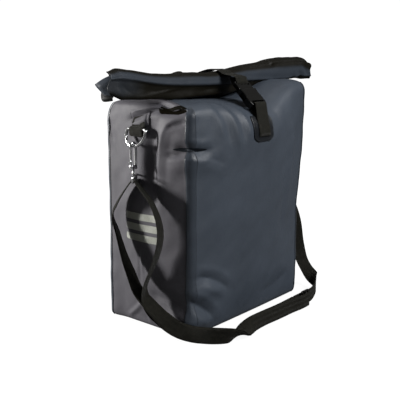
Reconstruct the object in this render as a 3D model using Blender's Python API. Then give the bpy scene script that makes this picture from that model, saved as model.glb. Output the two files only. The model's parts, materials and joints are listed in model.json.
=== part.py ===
"""Pannier bag: a roll-top bicycle bag of coated fabric, with its closure buckle, shoulder strap and rack fittings.

The origin is the centre of the base, on the surface that the bag stands on. +X runs along the bag's width, +Y
points to its back, where the rack fittings are, and +Z is up. All sizes are in metres.
"""

from math import cos, pi, radians, sin

import bmesh
import bpy
from mathutils import Matrix, Vector

# ---- driving dimensions ------------------------------------------------------------------------------------------
DEPTH = 0.180
FABRIC = 0.0024  # wall of each fabric panel
GAP = 0.0003  # between pieces that touch on the real bag
SEAM_GAP = 0.0010  # between two walls of the shell
FOLD_GAP = 0.00045  # between a flat patch and the curved panel that it is welded to
BASE_HEIGHT = 0.012  # the height at which the base panel meets the walls
NECK_Y = 0.006  # the neck stands a little behind the middle
NECK_HALF = 0.0062
NECK_TOP = 0.395
HINGE_Y = NECK_Y + NECK_HALF
HINGE_Z = 0.3985

WEBBING = 0.025
WEBBING_THICK = 0.0018
CLOSURE_WEBBING = 0.030

# Outline of the shell at each height: height, half width, front, back, corner radius, bulge of the front, bulge of
# each side. The bulge is how far the middle of that wall stands out of the flat.
SHELL = [
    (BASE_HEIGHT + GAP, 0.1485, -0.0885, 0.0885, 0.0125, 0.002, 0.001),
    (0.030, 0.1500, -0.0900, 0.0900, 0.014, 0.005, 0.003),
    (0.075, 0.1500, -0.0900, 0.0900, 0.014, 0.010, 0.006),
    (0.140, 0.1490, -0.0900, 0.0900, 0.014, 0.014, 0.009),
    (0.210, 0.1495, -0.0900, 0.0900, 0.014, 0.019, 0.011),
    (0.270, 0.1500, -0.0900, 0.0900, 0.014, 0.023, 0.012),
    (0.305, 0.1505, -0.0900, 0.0900, 0.015, 0.024, 0.011),
    (0.330, 0.1505, -0.0885, 0.0890, 0.016, 0.020, 0.008),
    (0.346, 0.1475, -0.0800, 0.0820, 0.018, 0.015, 0.004),
    (0.355, 0.1410, -0.0640, 0.0680, 0.020, 0.009, 0.002),
    (0.3605, 0.1320, -0.0400, 0.0490, 0.018, 0.003, 0.001),
    (0.3630, 0.1240, -0.0180, 0.0290, 0.010, 0.0, 0.0),
    (0.3665, 0.1190, NECK_Y - NECK_HALF, NECK_Y + NECK_HALF, 0.005, 0.0, 0.0),
    (0.3800, 0.1190, NECK_Y - NECK_HALF, NECK_Y + NECK_HALF, 0.005, 0.0, 0.0),
    (NECK_TOP, 0.1190, NECK_Y - NECK_HALF, NECK_Y + NECK_HALF, 0.005, 0.0, 0.0),
]
FRONT_SPANS, SIDE_SPANS, CORNER_SPANS = 12, 8, 4

# The rolled mouth along X: place, middle of the roll in Y, top of the roll, half thickness, half height.
ROLL = [
    (-0.240, -0.0130, 0.4110, 0.0160, 0.0215),
    (-0.200, -0.0150, 0.4100, 0.0170, 0.0215),
    (-0.140, -0.0180, 0.4070, 0.0170, 0.0200),
    (-0.122, -0.0185, 0.4067, 0.0170, 0.0198),
    (-0.070, -0.0200, 0.4060, 0.0170, 0.0192),
    (0.000, -0.0205, 0.4065, 0.0170, 0.0192),
    (0.070, -0.0220, 0.4115, 0.0170, 0.0190),
    (0.122, -0.0257, 0.4185, 0.0170, 0.0190),
    (0.140, -0.0270, 0.4210, 0.0170, 0.0190),
    (0.200, -0.0350, 0.4280, 0.0170, 0.0190),
    (0.235, -0.0440, 0.4285, 0.0170, 0.0188),
    (0.255, -0.0490, 0.4270, 0.0165, 0.0185),
]
ROLL_SHEET = 0.0018
ROLL_PITCH = 0.0036  # from one turn of the rolled mouth to the next
ROLL_TURNS = 2.2

BUCKLE_CENTRE = Vector((0, -0.0835, 0.3690))
BUCKLE_ALONG = Vector((0, 1, 1)).normalized()  # from the tab towards the roll
BUCKLE_OUT = Vector((0, -1, 1)).normalized()
BUCKLE_WIDTH = 0.042
BUCKLE_THICK = 0.011

RING_Y = 0.0045
RING_Z = 0.3205  # height of the ring's straight bar
RING_WIRE = 0.0040
RING_WIDTH = 0.044
RING_HEIGHT = 0.029
RING_X = 0.1668
RING_LEAN = 0.0085  # how far the ring's foot hangs outside its bar
SWIVEL_X = RING_X + RING_LEAN
HOOK_TOP = 0.3002
HOOK_FOOT = 0.2640
HOOK_HALF = 0.0050  # half the distance between the hook's two legs
HOOK_WIRE = 0.0036
EYE_BAR_Z = 0.2410
EYE_HALF = 0.0138
EYE_HEIGHT = 0.0100
EYE_WIRE = 0.0028
EYE_TURN = 40  # degrees that the eye's bar is turned out of the width direction

STRIP_SIZE = (0.068, 0.011)
STRIP_HEIGHTS = (0.1835, 0.1665, 0.1495)

RAIL_Z = 0.296
RAIL_LENGTH = 0.250
RAIL_HEIGHT = 0.024
RAIL_DEPTH = 0.008
BACK_Y = DEPTH / 2
RACK_TUBE = 0.016
HOOK_X = 0.074
HOOK_WIDTH = 0.030
LOWER_RAIL_Z = 0.110
LOWER_RAIL_LENGTH = 0.160

# Route of the shoulder strap, from the slider's middle bar to the left hook's eye, back behind the slider and on
# to the right hook's eye: the points of its middle line, with the direction of the webbing's width at each.
STRAP = [
    ((0.0970, -0.1492, 0.0150), (0.00, 0.00, 1.00)),
    ((0.0760, -0.1500, 0.0150), (0.00, 0.03, 1.00)),
    ((0.0400, -0.1570, 0.0150), (0.00, 0.10, 1.00)),
    ((0.0000, -0.1630, 0.0148), (0.00, 0.14, 1.00)),
    ((-0.0400, -0.1665, 0.0148), (0.00, 0.14, 1.00)),
    ((-0.0780, -0.1665, 0.0145), (0.00, 0.08, 1.00)),
    ((-0.1100, -0.1590, 0.0143), (0.03, 0.04, 1.00)),
    ((-0.1360, -0.1390, 0.0146), (0.08, 0.05, 1.00)),
    ((-0.1580, -0.1080, 0.0160), (0.22, 0.08, 0.97)),
    ((-0.1740, -0.0760, 0.0250), (0.48, 0.20, 0.85)),
    ((-0.1815, -0.0530, 0.0460), (0.75, 0.32, 0.58)),
    ((-0.1840, -0.0440, 0.0760), (0.88, 0.40, 0.25)),
    ((-0.1850, -0.0490, 0.1100), (0.85, 0.52, 0.06)),
    ((-0.1850, -0.0550, 0.1450), (0.80, 0.60, 0.00)),
    ((-0.1830, -0.0510, 0.1780), (0.77, 0.64, 0.00)),
    ((-0.1795, -0.0310, 0.2080), (0.77, 0.64, 0.00)),
    ((-0.1765, -0.0110, 0.2300), (0.77, 0.64, 0.00)),
    ((-0.1722, 0.0007, 0.2400), (0.77, 0.64, 0.00)),
    ((-0.1753, 0.0045, 0.2446), (0.77, 0.64, 0.00)),
    ((-0.1784, 0.0083, 0.2400), (0.77, 0.64, 0.00)),
    ((-0.1788, 0.0180, 0.2290), (0.77, 0.64, 0.00)),
    ((-0.1775, 0.0370, 0.2050), (0.77, 0.64, 0.00)),
    ((-0.1785, 0.0455, 0.1830), (0.77, 0.63, 0.05)),
    ((-0.1800, 0.0370, 0.1570), (0.80, 0.59, 0.10)),
    ((-0.1815, 0.0210, 0.1230), (0.84, 0.50, 0.20)),
    ((-0.1815, 0.0010, 0.0920), (0.86, 0.40, 0.32)),
    ((-0.1795, -0.0200, 0.0640), (0.80, 0.28, 0.53)),
    ((-0.1740, -0.0440, 0.0400), (0.60, 0.20, 0.77)),
    ((-0.1620, -0.0750, 0.0210), (0.30, 0.10, 0.95)),
    ((-0.1470, -0.1040, 0.0155), (0.12, 0.05, 0.99)),
    ((-0.1240, -0.1310, 0.0146), (0.05, 0.00, 1.00)),
    ((-0.0960, -0.1470, 0.0145), (0.00, -0.06, 1.00)),
    ((-0.0600, -0.1500, 0.0146), (0.00, -0.10, 1.00)),
    ((-0.0200, -0.1460, 0.0147), (0.00, -0.10, 1.00)),
    ((0.0200, -0.1420, 0.0148), (0.00, -0.06, 1.00)),
    ((0.0600, -0.1400, 0.0150), (0.00, 0.00, 1.00)),
    ((0.0950, -0.1400, 0.0150), (0.00, 0.00, 1.00)),
    ((0.1300, -0.1385, 0.0155), (0.04, 0.05, 1.00)),
    ((0.1650, -0.1260, 0.0180), (0.16, 0.14, 0.98)),
    ((0.1930, -0.1060, 0.0290), (0.30, 0.32, 0.90)),
    ((0.2040, -0.0880, 0.0520), (0.52, 0.50, 0.69)),
    ((0.2010, -0.0750, 0.0850), (0.72, 0.60, 0.34)),
    ((0.1930, -0.0640, 0.1230), (0.78, 0.61, 0.12)),
    ((0.1860, -0.0500, 0.1620), (0.79, 0.61, 0.00)),
    ((0.1800, -0.0310, 0.1990), (0.77, 0.64, 0.00)),
    ((0.1795, -0.0100, 0.2280), (0.77, 0.64, 0.00)),
    ((0.1784, 0.0007, 0.2400), (0.77, 0.64, 0.00)),
    ((0.1753, 0.0045, 0.2446), (0.77, 0.64, 0.00)),
    ((0.1722, 0.0083, 0.2400), (0.77, 0.64, 0.00)),
    ((0.1735, 0.0065, 0.2280), (0.77, 0.64, 0.00)),
    ((0.1745, -0.0020, 0.2130), (0.77, 0.64, 0.00)),
]
SLIDER_X = 0.0890
SLIDER_Y = -0.1446

# ---- materials ---------------------------------------------------------------------------------------------------
MATERIALS = {
    "coated_fabric": ((0.058, 0.066, 0.078), 0.55, 0.0),
    "gusset_fabric": ((0.110, 0.108, 0.125), 0.55, 0.0),
    "roll_fabric": ((0.020, 0.021, 0.022), 0.60, 0.0),
    "webbing": ((0.012, 0.011, 0.009), 0.85, 0.0),
    "buckle_plastic": ((0.010, 0.010, 0.010), 0.30, 0.0),
    "rail_plastic": ((0.015, 0.015, 0.016), 0.45, 0.0),
    "chrome": ((0.80, 0.80, 0.80), 0.15, 1.0),
    "steel": ((0.55, 0.55, 0.56), 0.30, 1.0),
    "reflector": ((0.36, 0.38, 0.33), 0.40, 0.0),
    "board": ((0.05, 0.05, 0.05), 0.60, 0.0),
}
LEFT, RIGHT = -1, 1


def material(name):
    found = bpy.data.materials.get(name)
    if found:
        return found
    made = bpy.data.materials.new(name)
    made.use_nodes = True
    colour, roughness, metallic = MATERIALS[name]
    shader = made.node_tree.nodes["Principled BSDF"]
    shader.inputs["Base Color"].default_value = (*colour, 1)
    shader.inputs["Roughness"].default_value = roughness
    shader.inputs["Metallic"].default_value = metallic
    return made


# ---- mesh helpers ------------------------------------------------------------------------------------------------
def add_object(name, data, finish):
    made = bpy.data.objects.new(name, data)
    bpy.context.scene.collection.objects.link(made)
    data.materials.append(material(finish))
    return made


def add_mesh(name, points, faces, finish, smooth=False):
    """An object from points and faces, with every face turned outwards."""
    mesh = bpy.data.meshes.new(name)
    shape = bmesh.new()
    corners = [shape.verts.new(p) for p in points]
    for face in faces:
        shape.faces.new([corners[i] for i in face])
    bmesh.ops.recalc_face_normals(shape, faces=shape.faces)
    shape.to_mesh(mesh)
    shape.free()
    if smooth:
        mesh.shade_smooth()
        mesh.set_sharp_from_angle(angle=radians(40))
    return add_object(name, mesh, finish)


def loft(name, rings, finish, smooth=True):
    """A closed body through rings of equal length, with a flat cap at each end."""
    size = len(rings[0])
    points = [p for ring in rings for p in ring]
    faces = []
    for j in range(len(rings) - 1):
        for i in range(size):
            k = (i + 1) % size
            faces.append((j * size + i, j * size + k, (j + 1) * size + k, (j + 1) * size + i))
    faces.append(tuple(range(size))[::-1])
    faces.append(tuple(range((len(rings) - 1) * size, len(rings) * size)))
    return add_mesh(name, points, faces, finish, smooth)


def sheet(name, outer, inner, finish):
    """A closed body between two grids of points, such as the two faces of a piece of cloth."""
    rows, columns = len(outer), len(outer[0])
    points = [p for row in outer for p in row] + [p for row in inner for p in row]
    back = rows * columns

    def at(j, i):
        return j * columns + i

    faces = []
    for j in range(rows - 1):
        for i in range(columns - 1):
            quad = (at(j, i), at(j, i + 1), at(j + 1, i + 1), at(j + 1, i))
            faces.append(quad)
            faces.append(tuple(back + q for q in reversed(quad)))
    rim = [at(0, i) for i in range(columns)] + [at(j, columns - 1) for j in range(1, rows)]
    rim += [at(rows - 1, i) for i in reversed(range(columns - 1))] + [at(j, 0) for j in reversed(range(1, rows - 1))]
    for a, b in zip(rim, rim[1:] + rim[:1]):
        faces.append((b, a, back + a, back + b))
    return add_mesh(name, points, faces, finish, smooth=True)


def prism(name, outline, axis, low, high, finish, frame=None, bevel=0.0):
    """An outline extruded along X, Y or Z. With a frame, the outline is in the frame's own axes."""

    def point(a, b, c):
        local = {"X": (c, a, b), "Y": (a, c, b), "Z": (a, b, c)}[axis]
        return frame @ Vector(local) if frame else Vector(local)

    rings = [[point(a, b, c) for a, b in outline] for c in (low, high)]
    made = loft(name, rings, finish, smooth=False)
    if bevel:
        add_bevel(made, bevel)
    return made


def add_bevel(obj, width, segments=2):
    edge = obj.modifiers.new("edge", "BEVEL")
    edge.width = width
    edge.segments = segments
    edge.limit_method = "ANGLE"
    edge.angle_limit = radians(40)


def block(low, high):
    """The outline of a rectangle from its low and high corners."""
    return [(low[0], low[1]), (high[0], low[1]), (high[0], high[1]), (low[0], high[1])]


def rounded(half_a, half_b, radius, steps=4, centre=(0.0, 0.0)):
    """The outline of a rectangle with round corners."""
    points = []
    for turn, (sa, sb) in enumerate([(1, 1), (-1, 1), (-1, -1), (1, -1)]):
        for k in range(steps + 1):
            angle = (turn + k / steps) * pi / 2
            a = centre[0] + sa * (half_a - radius) + radius * cos(angle)
            points.append((a, centre[1] + sb * (half_b - radius) + radius * sin(angle)))
    return points


def cut(obj, cutters, operation="DIFFERENCE"):
    """Cuts hidden tools from an object, or joins them to it."""
    for tool in cutters:
        tool.hide_render = True
        tool.display_type = "WIRE"
        change = obj.modifiers.new(tool.name, "BOOLEAN")
        change.operation = operation
        change.object = tool
    return obj


def join(obj, tools):
    return cut(obj, tools, "UNION")


def disc(name, centre, direction, radius, length, finish, sides=20):
    """A round bar from centre, along direction."""
    turn = Vector(direction).to_track_quat("Z", "Y").to_matrix()
    rings = []
    for along in (0, length):
        ring = [(radius * cos(2 * pi * k / sides), radius * sin(2 * pi * k / sides), along) for k in range(sides)]
        rings.append([Vector(centre) + turn @ Vector(p) for p in ring])
    return loft(name, rings, finish)


def wire(name, points, radius, finish, closed=False, sides=2):
    """A round wire through points."""
    curve = bpy.data.curves.new(name, "CURVE")
    curve.dimensions = "3D"
    curve.bevel_depth = radius
    curve.bevel_resolution = sides
    curve.use_fill_caps = True
    spline = curve.splines.new("POLY")
    spline.points.add(len(points) - 1)
    for place, point in zip(spline.points, points):
        place.co = (*point, 1)
    spline.use_cyclic_u = closed
    return add_object(name, curve, finish)


def smooth_route(points, steps):
    """Points on a Catmull-Rom curve through the given ones."""
    ends = [points[0] * 2 - points[1]] + list(points) + [points[-1] * 2 - points[-2]]
    route = []
    for a, b, c, d in zip(ends, ends[1:], ends[2:], ends[3:]):
        for k in range(steps):
            t = k / steps
            even = (2 * a - 5 * b + 4 * c - d) * t * t + (3 * b - a - 3 * c + d) * t**3
            route.append((2 * b + (c - a) * t + even) / 2)
    return route + [points[-1].copy()]


# ---- the shell's surface -----------------------------------------------------------------------------------------
def shell_at(z):
    """The shell's outline values at a height: half width, front, back, corner radius and the two bulges."""
    rows = SHELL
    for low, high in zip(rows, rows[1:]):
        if z <= high[0]:
            t = max(0.0, (z - low[0]) / (high[0] - low[0]))
            return [a + (b - a) * t for a, b in zip(low[1:], high[1:])]
    return list(rows[-1][1:])


def front_y(x, z):
    half, front, _, radius, bulge, _ = shell_at(z)
    return front - bulge * max(0.0, 1 - (x / (half - radius)) ** 2)


def side_x(y, z):
    half, front, back, radius, _, bulge = shell_at(z)
    middle, reach = (front + back) / 2, (back - front) / 2 - radius
    return half + bulge * max(0.0, 1 - ((y - middle) / max(reach, 0.001)) ** 2)


def columns_of(z, kinds):
    """Points of the shell's outline at one height, for the stretches named in kinds, running round from above."""
    half, front, back, radius, front_bulge, side_bulge = shell_at(z)
    found = []
    for kind in kinds:
        if kind in ("front", "back"):
            for k in range(FRONT_SPANS + 1):
                x = (half - radius) * (2 * k / FRONT_SPANS - 1)
                bulge = front_bulge * (1 - (x / (half - radius)) ** 2)
                found.append((x, front - bulge) if kind == "front" else (-x, back))
        elif kind in ("left", "right"):
            for k in range(SIDE_SPANS + 1):
                s = 2 * k / SIDE_SPANS - 1
                y = (front + back) / 2 + ((back - front) / 2 - radius) * s
                x = half + side_bulge * (1 - s * s)
                found.append((x, y) if kind == "right" else (-x, (front + back) - y))
        else:
            side, end, first, last = kind
            centre = (side * (half - radius), (front + radius) if end < 0 else (back - radius))
            for k in range(first, last + 1):
                angle = pi / 2 * k / CORNER_SPANS
                turn = {(-1, -1): pi, (1, -1): 3 * pi / 2, (1, 1): 0.0, (-1, 1): pi / 2}[(side, end)]
                found.append((centre[0] + radius * cos(turn + angle), centre[1] + radius * sin(turn + angle)))
    kept = []
    for p in found:
        if not kept or (Vector(p) - Vector(kept[-1])).length > 1e-5:
            kept.append(p)
    return [Vector((x, y, z)) for x, y in kept]


RING_KINDS = [
    (LEFT, -1, 0, 4), "front", (RIGHT, -1, 0, 4), "right", (RIGHT, 1, 0, 4), "back", (LEFT, 1, 0, 4), "left",
]
HALF = CORNER_SPANS // 2
FRONT_START = HALF
FRONT_END = CORNER_SPANS + FRONT_SPANS + HALF
RIGHT_END = FRONT_END + CORNER_SPANS + SIDE_SPANS
BACK_END = RIGHT_END + CORNER_SPANS + FRONT_SPANS
RING_SIZE = 4 * CORNER_SPANS + 2 * FRONT_SPANS + 2 * SIDE_SPANS


def shell_grid():
    """The whole outer surface as rows of points round the shell, and the outward direction at each."""
    rows = []
    for row in SHELL:
        ring = columns_of(row[0], RING_KINDS)
        rows.append(ring[:-1] if len(ring) == RING_SIZE + 1 else ring)
    normals = []
    for j, ring in enumerate(rows):
        low, high = rows[max(j - 1, 0)], rows[min(j + 1, len(rows) - 1)]
        line = []
        for i in range(RING_SIZE):
            across = ring[(i + 1) % RING_SIZE] - ring[i - 1]
            line.append(across.cross(high[i] - low[i]).normalized())
        normals.append(line)
    return rows, normals


def add_panel(name, grid, first, last, finish):
    """A wall of the shell between two columns, pulled back by half a seam gap at each side."""
    rows, normals = grid
    outer, inner = [], []
    for ring, line in zip(rows, normals):
        out_row, in_row = [], []
        for i in range(first, last + 1):
            point, normal = ring[i % RING_SIZE].copy(), line[i % RING_SIZE]
            if i == first:
                point += (ring[(i + 1) % RING_SIZE] - point).normalized() * SEAM_GAP / 2
            if i == last:
                point += (ring[(i - 1) % RING_SIZE] - point).normalized() * SEAM_GAP / 2
            out_row.append(point)
            in_row.append(point - normal * FABRIC)
        outer.append(out_row)
        inner.append(in_row)
    return sheet(name, outer, inner, finish)


def add_shell():
    grid = shell_grid()
    add_panel("front_panel", grid, FRONT_START, FRONT_END, "coated_fabric")
    add_panel("gusset_right", grid, FRONT_END, RIGHT_END, "gusset_fabric")
    add_panel("back_panel", grid, RIGHT_END, BACK_END, "coated_fabric")
    add_panel("gusset_left", grid, BACK_END, RING_SIZE + FRONT_START, "gusset_fabric")
    add_base()
    add_seam_tapes()
    prism("back_stiffener", rounded(0.122, 0.130, 0.015, centre=(0.0, 0.172)), "Y", BACK_Y - FABRIC - GAP - 0.0025,
          BACK_Y - FABRIC - GAP, "board")
    prism("base_stiffener", rounded(0.125, 0.062, 0.015, centre=(0.0, -0.004)), "Z", FABRIC + GAP,
          FABRIC + GAP + 0.002, "board")


def base_ring(half_x, half_y, radius, z):
    return [Vector((x, y, z)) for x, y in rounded(half_x, half_y, radius)]


def add_base():
    """The base is a shallow tray with a rounded foot, flat underneath."""
    foot = BASE_HEIGHT
    outer, inner = [], []
    for k in range(5):
        angle = k / 4 * radians(72)
        reach = foot * (1 - sin(angle))
        outer.append((0.1484 - foot + foot * cos(angle), 0.0884 - foot + foot * cos(angle), reach))
    outer.append((0.1484 - foot, 0.0884 - foot, 0.0))
    for half_x, half_y, z in outer:
        inner.append((half_x - FABRIC, half_y - FABRIC, min(foot, z + FABRIC * (1 - z / foot))))
    rings = [base_ring(x, y, 0.0125 - (0.1484 - x) * 0.5, z) for x, y, z in outer[::-1]]
    rings += [base_ring(x, y, 0.0110 - (0.1460 - x) * 0.5, z) for x, y, z in inner]
    return loft("base_panel", rings, "coated_fabric")


def add_seam_tapes():
    """A welded tape covers each upright corner seam, from the foot to the shoulder."""
    heights = [row[0] for row in SHELL if 0.02 < row[0] < 0.34]
    names = {(LEFT, -1): "front_left", (RIGHT, -1): "front_right", (RIGHT, 1): "back_right", (LEFT, 1): "back_left"}
    for (side, end), place in names.items():
        outer, inner = [], []
        for z in heights:
            half, front, back, radius = shell_at(z)[:4]
            centre = Vector((side * (half - radius), (front + radius) if end < 0 else (back - radius), z))
            turn = {(-1, -1): pi, (1, -1): 3 * pi / 2, (1, 1): 0.0, (-1, 1): pi / 2}[(side, end)]
            arcs = [turn + radians(10 + 8.75 * k) for k in range(9)]
            outer.append([centre + Vector((cos(a), sin(a), 0)) * (radius + FOLD_GAP + 0.0010) for a in arcs])
            inner.append([centre + Vector((cos(a), sin(a), 0)) * (radius + FOLD_GAP) for a in arcs])
        sheet(f"seam_tape_{place}", outer, inner, "coated_fabric")


# ---- the rolled mouth --------------------------------------------------------------------------------------------
def roll_at(x):
    """The roll's middle in Y, its top, half thickness and half height at a place along X."""
    for low, high in zip(ROLL, ROLL[1:]):
        if x <= high[0]:
            t = (x - low[0]) / (high[0] - low[0])
            return [a + (b - a) * t for a, b in zip(low[1:], high[1:])]
    return list(ROLL[-1][1:])


def roll_section(x):
    """The sheet's outline at one place: a flap over the neck, then turns that wind inwards and forwards."""
    middle, top, half_y, half_z = roll_at(x)
    centre = top - half_z
    if abs(x) < 0.130:
        line = [Vector((HINGE_Y, HINGE_Z + 0.0010)), Vector((0.0060, HINGE_Z + 0.0025)),
                Vector((-0.0020, (HINGE_Z + top) / 2 + 0.0010))]
    else:  # beyond the neck the cloth starts on the roll's own back
        reach_y, reach_z = half_y - ROLL_SHEET / 2, half_z - ROLL_SHEET / 2
        line = [Vector((middle + reach_y * cos(radians(a)), centre + reach_z * sin(radians(a)))) for a in (35, 52, 70)]
    steps = 30
    for k in range(steps + 1):
        turned = ROLL_TURNS * k / steps
        angle = pi / 2 + 2 * pi * turned
        inset = ROLL_SHEET / 2 + ROLL_PITCH * turned
        y = middle + (half_y - inset) * cos(angle)
        line.append(Vector((y, centre + (half_z - inset) * sin(angle))))
    sides = ([], [])
    for k, point in enumerate(line):
        ahead, behind = line[min(k + 1, len(line) - 1)], line[max(k - 1, 0)]
        along = (ahead - behind).normalized()
        normal = Vector((-along.y, along.x)) * ROLL_SHEET / 2
        sides[0].append(point + normal)
        sides[1].append(point - normal)
    return [Vector((x, p.x, p.y)) for p in sides[0] + sides[1][::-1]]


def add_roll():
    loft("roll_wrap", [roll_section(row[0]) for row in ROLL], "roll_fabric")
    for name, shift in (("mouth_batten_front", -0.0022), ("mouth_batten_back", 0.0022)):
        rings = []
        for x in [row[0] for row in ROLL[:-1]]:
            middle, top, _, half_z = roll_at(x)
            y, z = middle + shift, top - half_z
            rings.append([Vector((x, y + a, z + b)) for a, b in block((-0.0006, -0.0065), (0.0006, 0.0065))])
        loft(name, rings, "board", smooth=False)


# ---- the closure -------------------------------------------------------------------------------------------------
def buckle_frame():
    """The buckle's own axes: X across, Y along the strap towards the roll, Z out of the bag."""
    turn = Matrix((Vector((1, 0, 0)), BUCKLE_ALONG, BUCKLE_OUT)).transposed().to_4x4()
    return Matrix.Translation(BUCKLE_CENTRE) @ turn


SOCKET_FOOT, SOCKET_SLOT, SOCKET_MOUTH = -0.025, -0.0215, 0.010
PLUG_START, PLUG_SLOT, PLUG_END = 0.0108, 0.0240, 0.0280
PRONG_ROOT = (0.0105, 0.0100)  # across and along, from the buckle's centre


def add_buckle():
    frame = buckle_frame()
    half = BUCKLE_WIDTH / 2
    thick = BUCKLE_THICK / 2
    shell = [(-half + 0.003, SOCKET_FOOT), (half - 0.003, SOCKET_FOOT), (half, SOCKET_FOOT + 0.006),
             (half, -0.010), (half - 0.0015, -0.004), (half - 0.0015, 0.002), (half, SOCKET_MOUTH),
             (-half, SOCKET_MOUTH), (-half + 0.0015, 0.002), (-half + 0.0015, -0.004), (-half, -0.010),
             (-half, SOCKET_FOOT + 0.006)]
    socket = prism("buckle_socket", shell, "Z", -thick, thick, "buckle_plastic", frame, bevel=0.0012)
    cut(socket, [
        prism("tool_cavity", block((-0.0174, -0.0130), (0.0174, 0.020)), "Z", -0.0032, 0.0032, "board", frame),
        prism("tool_windows", block((-0.030, -0.0080), (0.030, 0.0030)), "Z", -0.0032, 0.0032, "board", frame),
        prism("tool_slot", block((-0.0155, SOCKET_SLOT), (0.0155, SOCKET_SLOT + 0.0050)), "Z", -0.02, 0.02, "board", frame),
    ])
    plug = prism("buckle_plug", [(-0.0190, PLUG_START), (0.0190, PLUG_START), (0.0190, 0.0240), (0.0165, PLUG_END),
                                 (-0.0165, PLUG_END), (-0.0190, 0.0240)], "Z", -0.0034, 0.0034, "buckle_plastic",
                 frame, bevel=0.0010)
    join(plug, [prism("tool_tongue", [(-0.0042, 0.015), (-0.0036, -0.0100), (0.0036, -0.0100), (0.0042, 0.015)], "Z",
                      -0.0024, 0.0024, "board", frame)])
    cut(plug, [prism("tool_plug_slot", block((-0.0155, PLUG_SLOT - 0.0050), (0.0155, PLUG_SLOT)), "Z", -0.02, 0.02, "board", frame)])
    arm = [(0.0082, 0.0104), (0.0128, 0.0104), (0.0150, 0.0040), (0.0171, 0.0025), (0.0171, -0.0060),
           (0.0148, -0.0095), (0.0120, -0.0095), (0.0128, -0.0030), (0.0108, 0.0030)]
    prism("buckle_prong_right", arm, "Z", -0.0025, 0.0025, "buckle_plastic", frame)
    prism("buckle_prong_left", [(-a, b) for a, b in arm[::-1]], "Z", -0.0025, 0.0025, "buckle_plastic", frame)


def strip(name, line, half_width, thickness, finish, x=0.0):
    """A flat strip across X whose middle line runs through points in Y and Z."""
    line = [Vector(p) for p in line]
    sides = ([], [])
    for k, point in enumerate(line):
        along = (line[min(k + 1, len(line) - 1)] - line[max(k - 1, 0)]).normalized()
        normal = Vector((-along.y, along.x)) * thickness / 2
        sides[0].append(point + normal)
        sides[1].append(point - normal)
    outline = [(p.x, p.y) for p in sides[0] + sides[1][::-1]]
    return prism(name, outline, "X", x - half_width, x + half_width, finish)


def add_closure():
    heights = [0.297, 0.302, 0.308, 0.315, 0.323, 0.330, 0.3355]
    reaches = [0.60, 0.88, 1.0, 1.0, 1.0, 1.0, 1.0]
    outer, inner = [], []
    for z, reach in zip(heights, reaches):
        across = [0.0265 * reach * (2 * k / 8 - 1) for k in range(9)]
        inner.append([Vector((x, front_y(x, z) - FOLD_GAP, z)) for x in across])
        outer.append([Vector((x, front_y(x, z) - FOLD_GAP - 0.0012, z)) for x in across])
    sheet("closure_patch", outer, inner, "coated_fabric")

    frame = buckle_frame()
    lift = FOLD_GAP + 0.0012 + FOLD_GAP + 0.0008
    on_patch = [(front_y(0.0, z) - lift, z) for z in (0.305, 0.309, 0.320, 0.330)]
    bar = frame @ Vector((0, (SOCKET_FOOT + SOCKET_SLOT) / 2, 0))
    turn = wrap_round(bar, 0.0030, BUCKLE_THICK / 2 + 0.0012)
    back_on = [(y - 0.0020, z) for y, z in on_patch[1:][::-1]]
    strip("closure_tab", on_patch + turn + back_on, CLOSURE_WEBBING / 2, 0.0014, "webbing")
    add_buckle()
    add_closure_strap(frame)


def wrap_round(bar, along, out):
    """Points in Y and Z where webbing turns round a buckle's bar, from the bag's side to the outer side."""
    corner = 0.0014
    turn = [(-along, -out), (along - corner, -out), (along, corner - out), (along, out - corner),
            (along - corner, out), (corner - along, out), (-along, out - corner)]
    points = [bar + BUCKLE_ALONG * a + BUCKLE_OUT * b for a, b in turn]
    return [(p.y, p.z) for p in points]


def add_closure_strap(frame):
    """Webbing from the back panel over the roll to the plug's bar, round it and back to a stitched end."""
    top = roll_at(0.0)[1]
    over = [(BACK_Y + FOLD_GAP + 0.0008, 0.3235), (BACK_Y + FOLD_GAP + 0.0008, 0.330), (0.0895, 0.346),
            (0.078, 0.362), (0.055, 0.380), (0.032, 0.395), (0.018, 0.4019), (0.010, 0.4042), (0.002, 0.4062),
            (-0.008, top + 0.0017), (-0.020, top + 0.0024), (-0.031, top - 0.0005)]
    bar = frame @ Vector((0, (PLUG_END + PLUG_SLOT) / 2, 0))
    turn = [(0.0015, 0.0046), (-0.0016, 0.0046), (-0.0031, 0.0032), (-0.0031, -0.0032), (-0.0016, -0.0046),
            (0.0015, -0.0046), (0.0060, -0.0044), (0.0110, -0.0038)]
    down = [(p.y, p.z) for p in (bar + BUCKLE_ALONG * a + BUCKLE_OUT * b for a, b in turn)]
    strip("closure_strap", over + down, CLOSURE_WEBBING / 2, 0.0014, "webbing")


# ---- strap rings and snap hooks on the gussets ---------------------------------------------------------------------
def ring_points():
    """The D-ring's middle line, in Y and in the distance below its bar."""
    half = (RING_WIDTH - RING_WIRE) / 2
    drop = RING_HEIGHT - RING_WIRE
    points = [(-half + 0.004, 0.0), (half - 0.004, 0.0), (half - 0.0008, 0.0012), (half, 0.0042)]
    bend = drop - 0.0042
    for k in range(1, 12):
        angle = pi * k / 12
        points.append((half * cos(angle), 0.0042 + bend * sin(angle) ** 0.8))
    return points + [(-half, 0.0042), (-half + 0.0008, 0.0012)]


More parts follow.
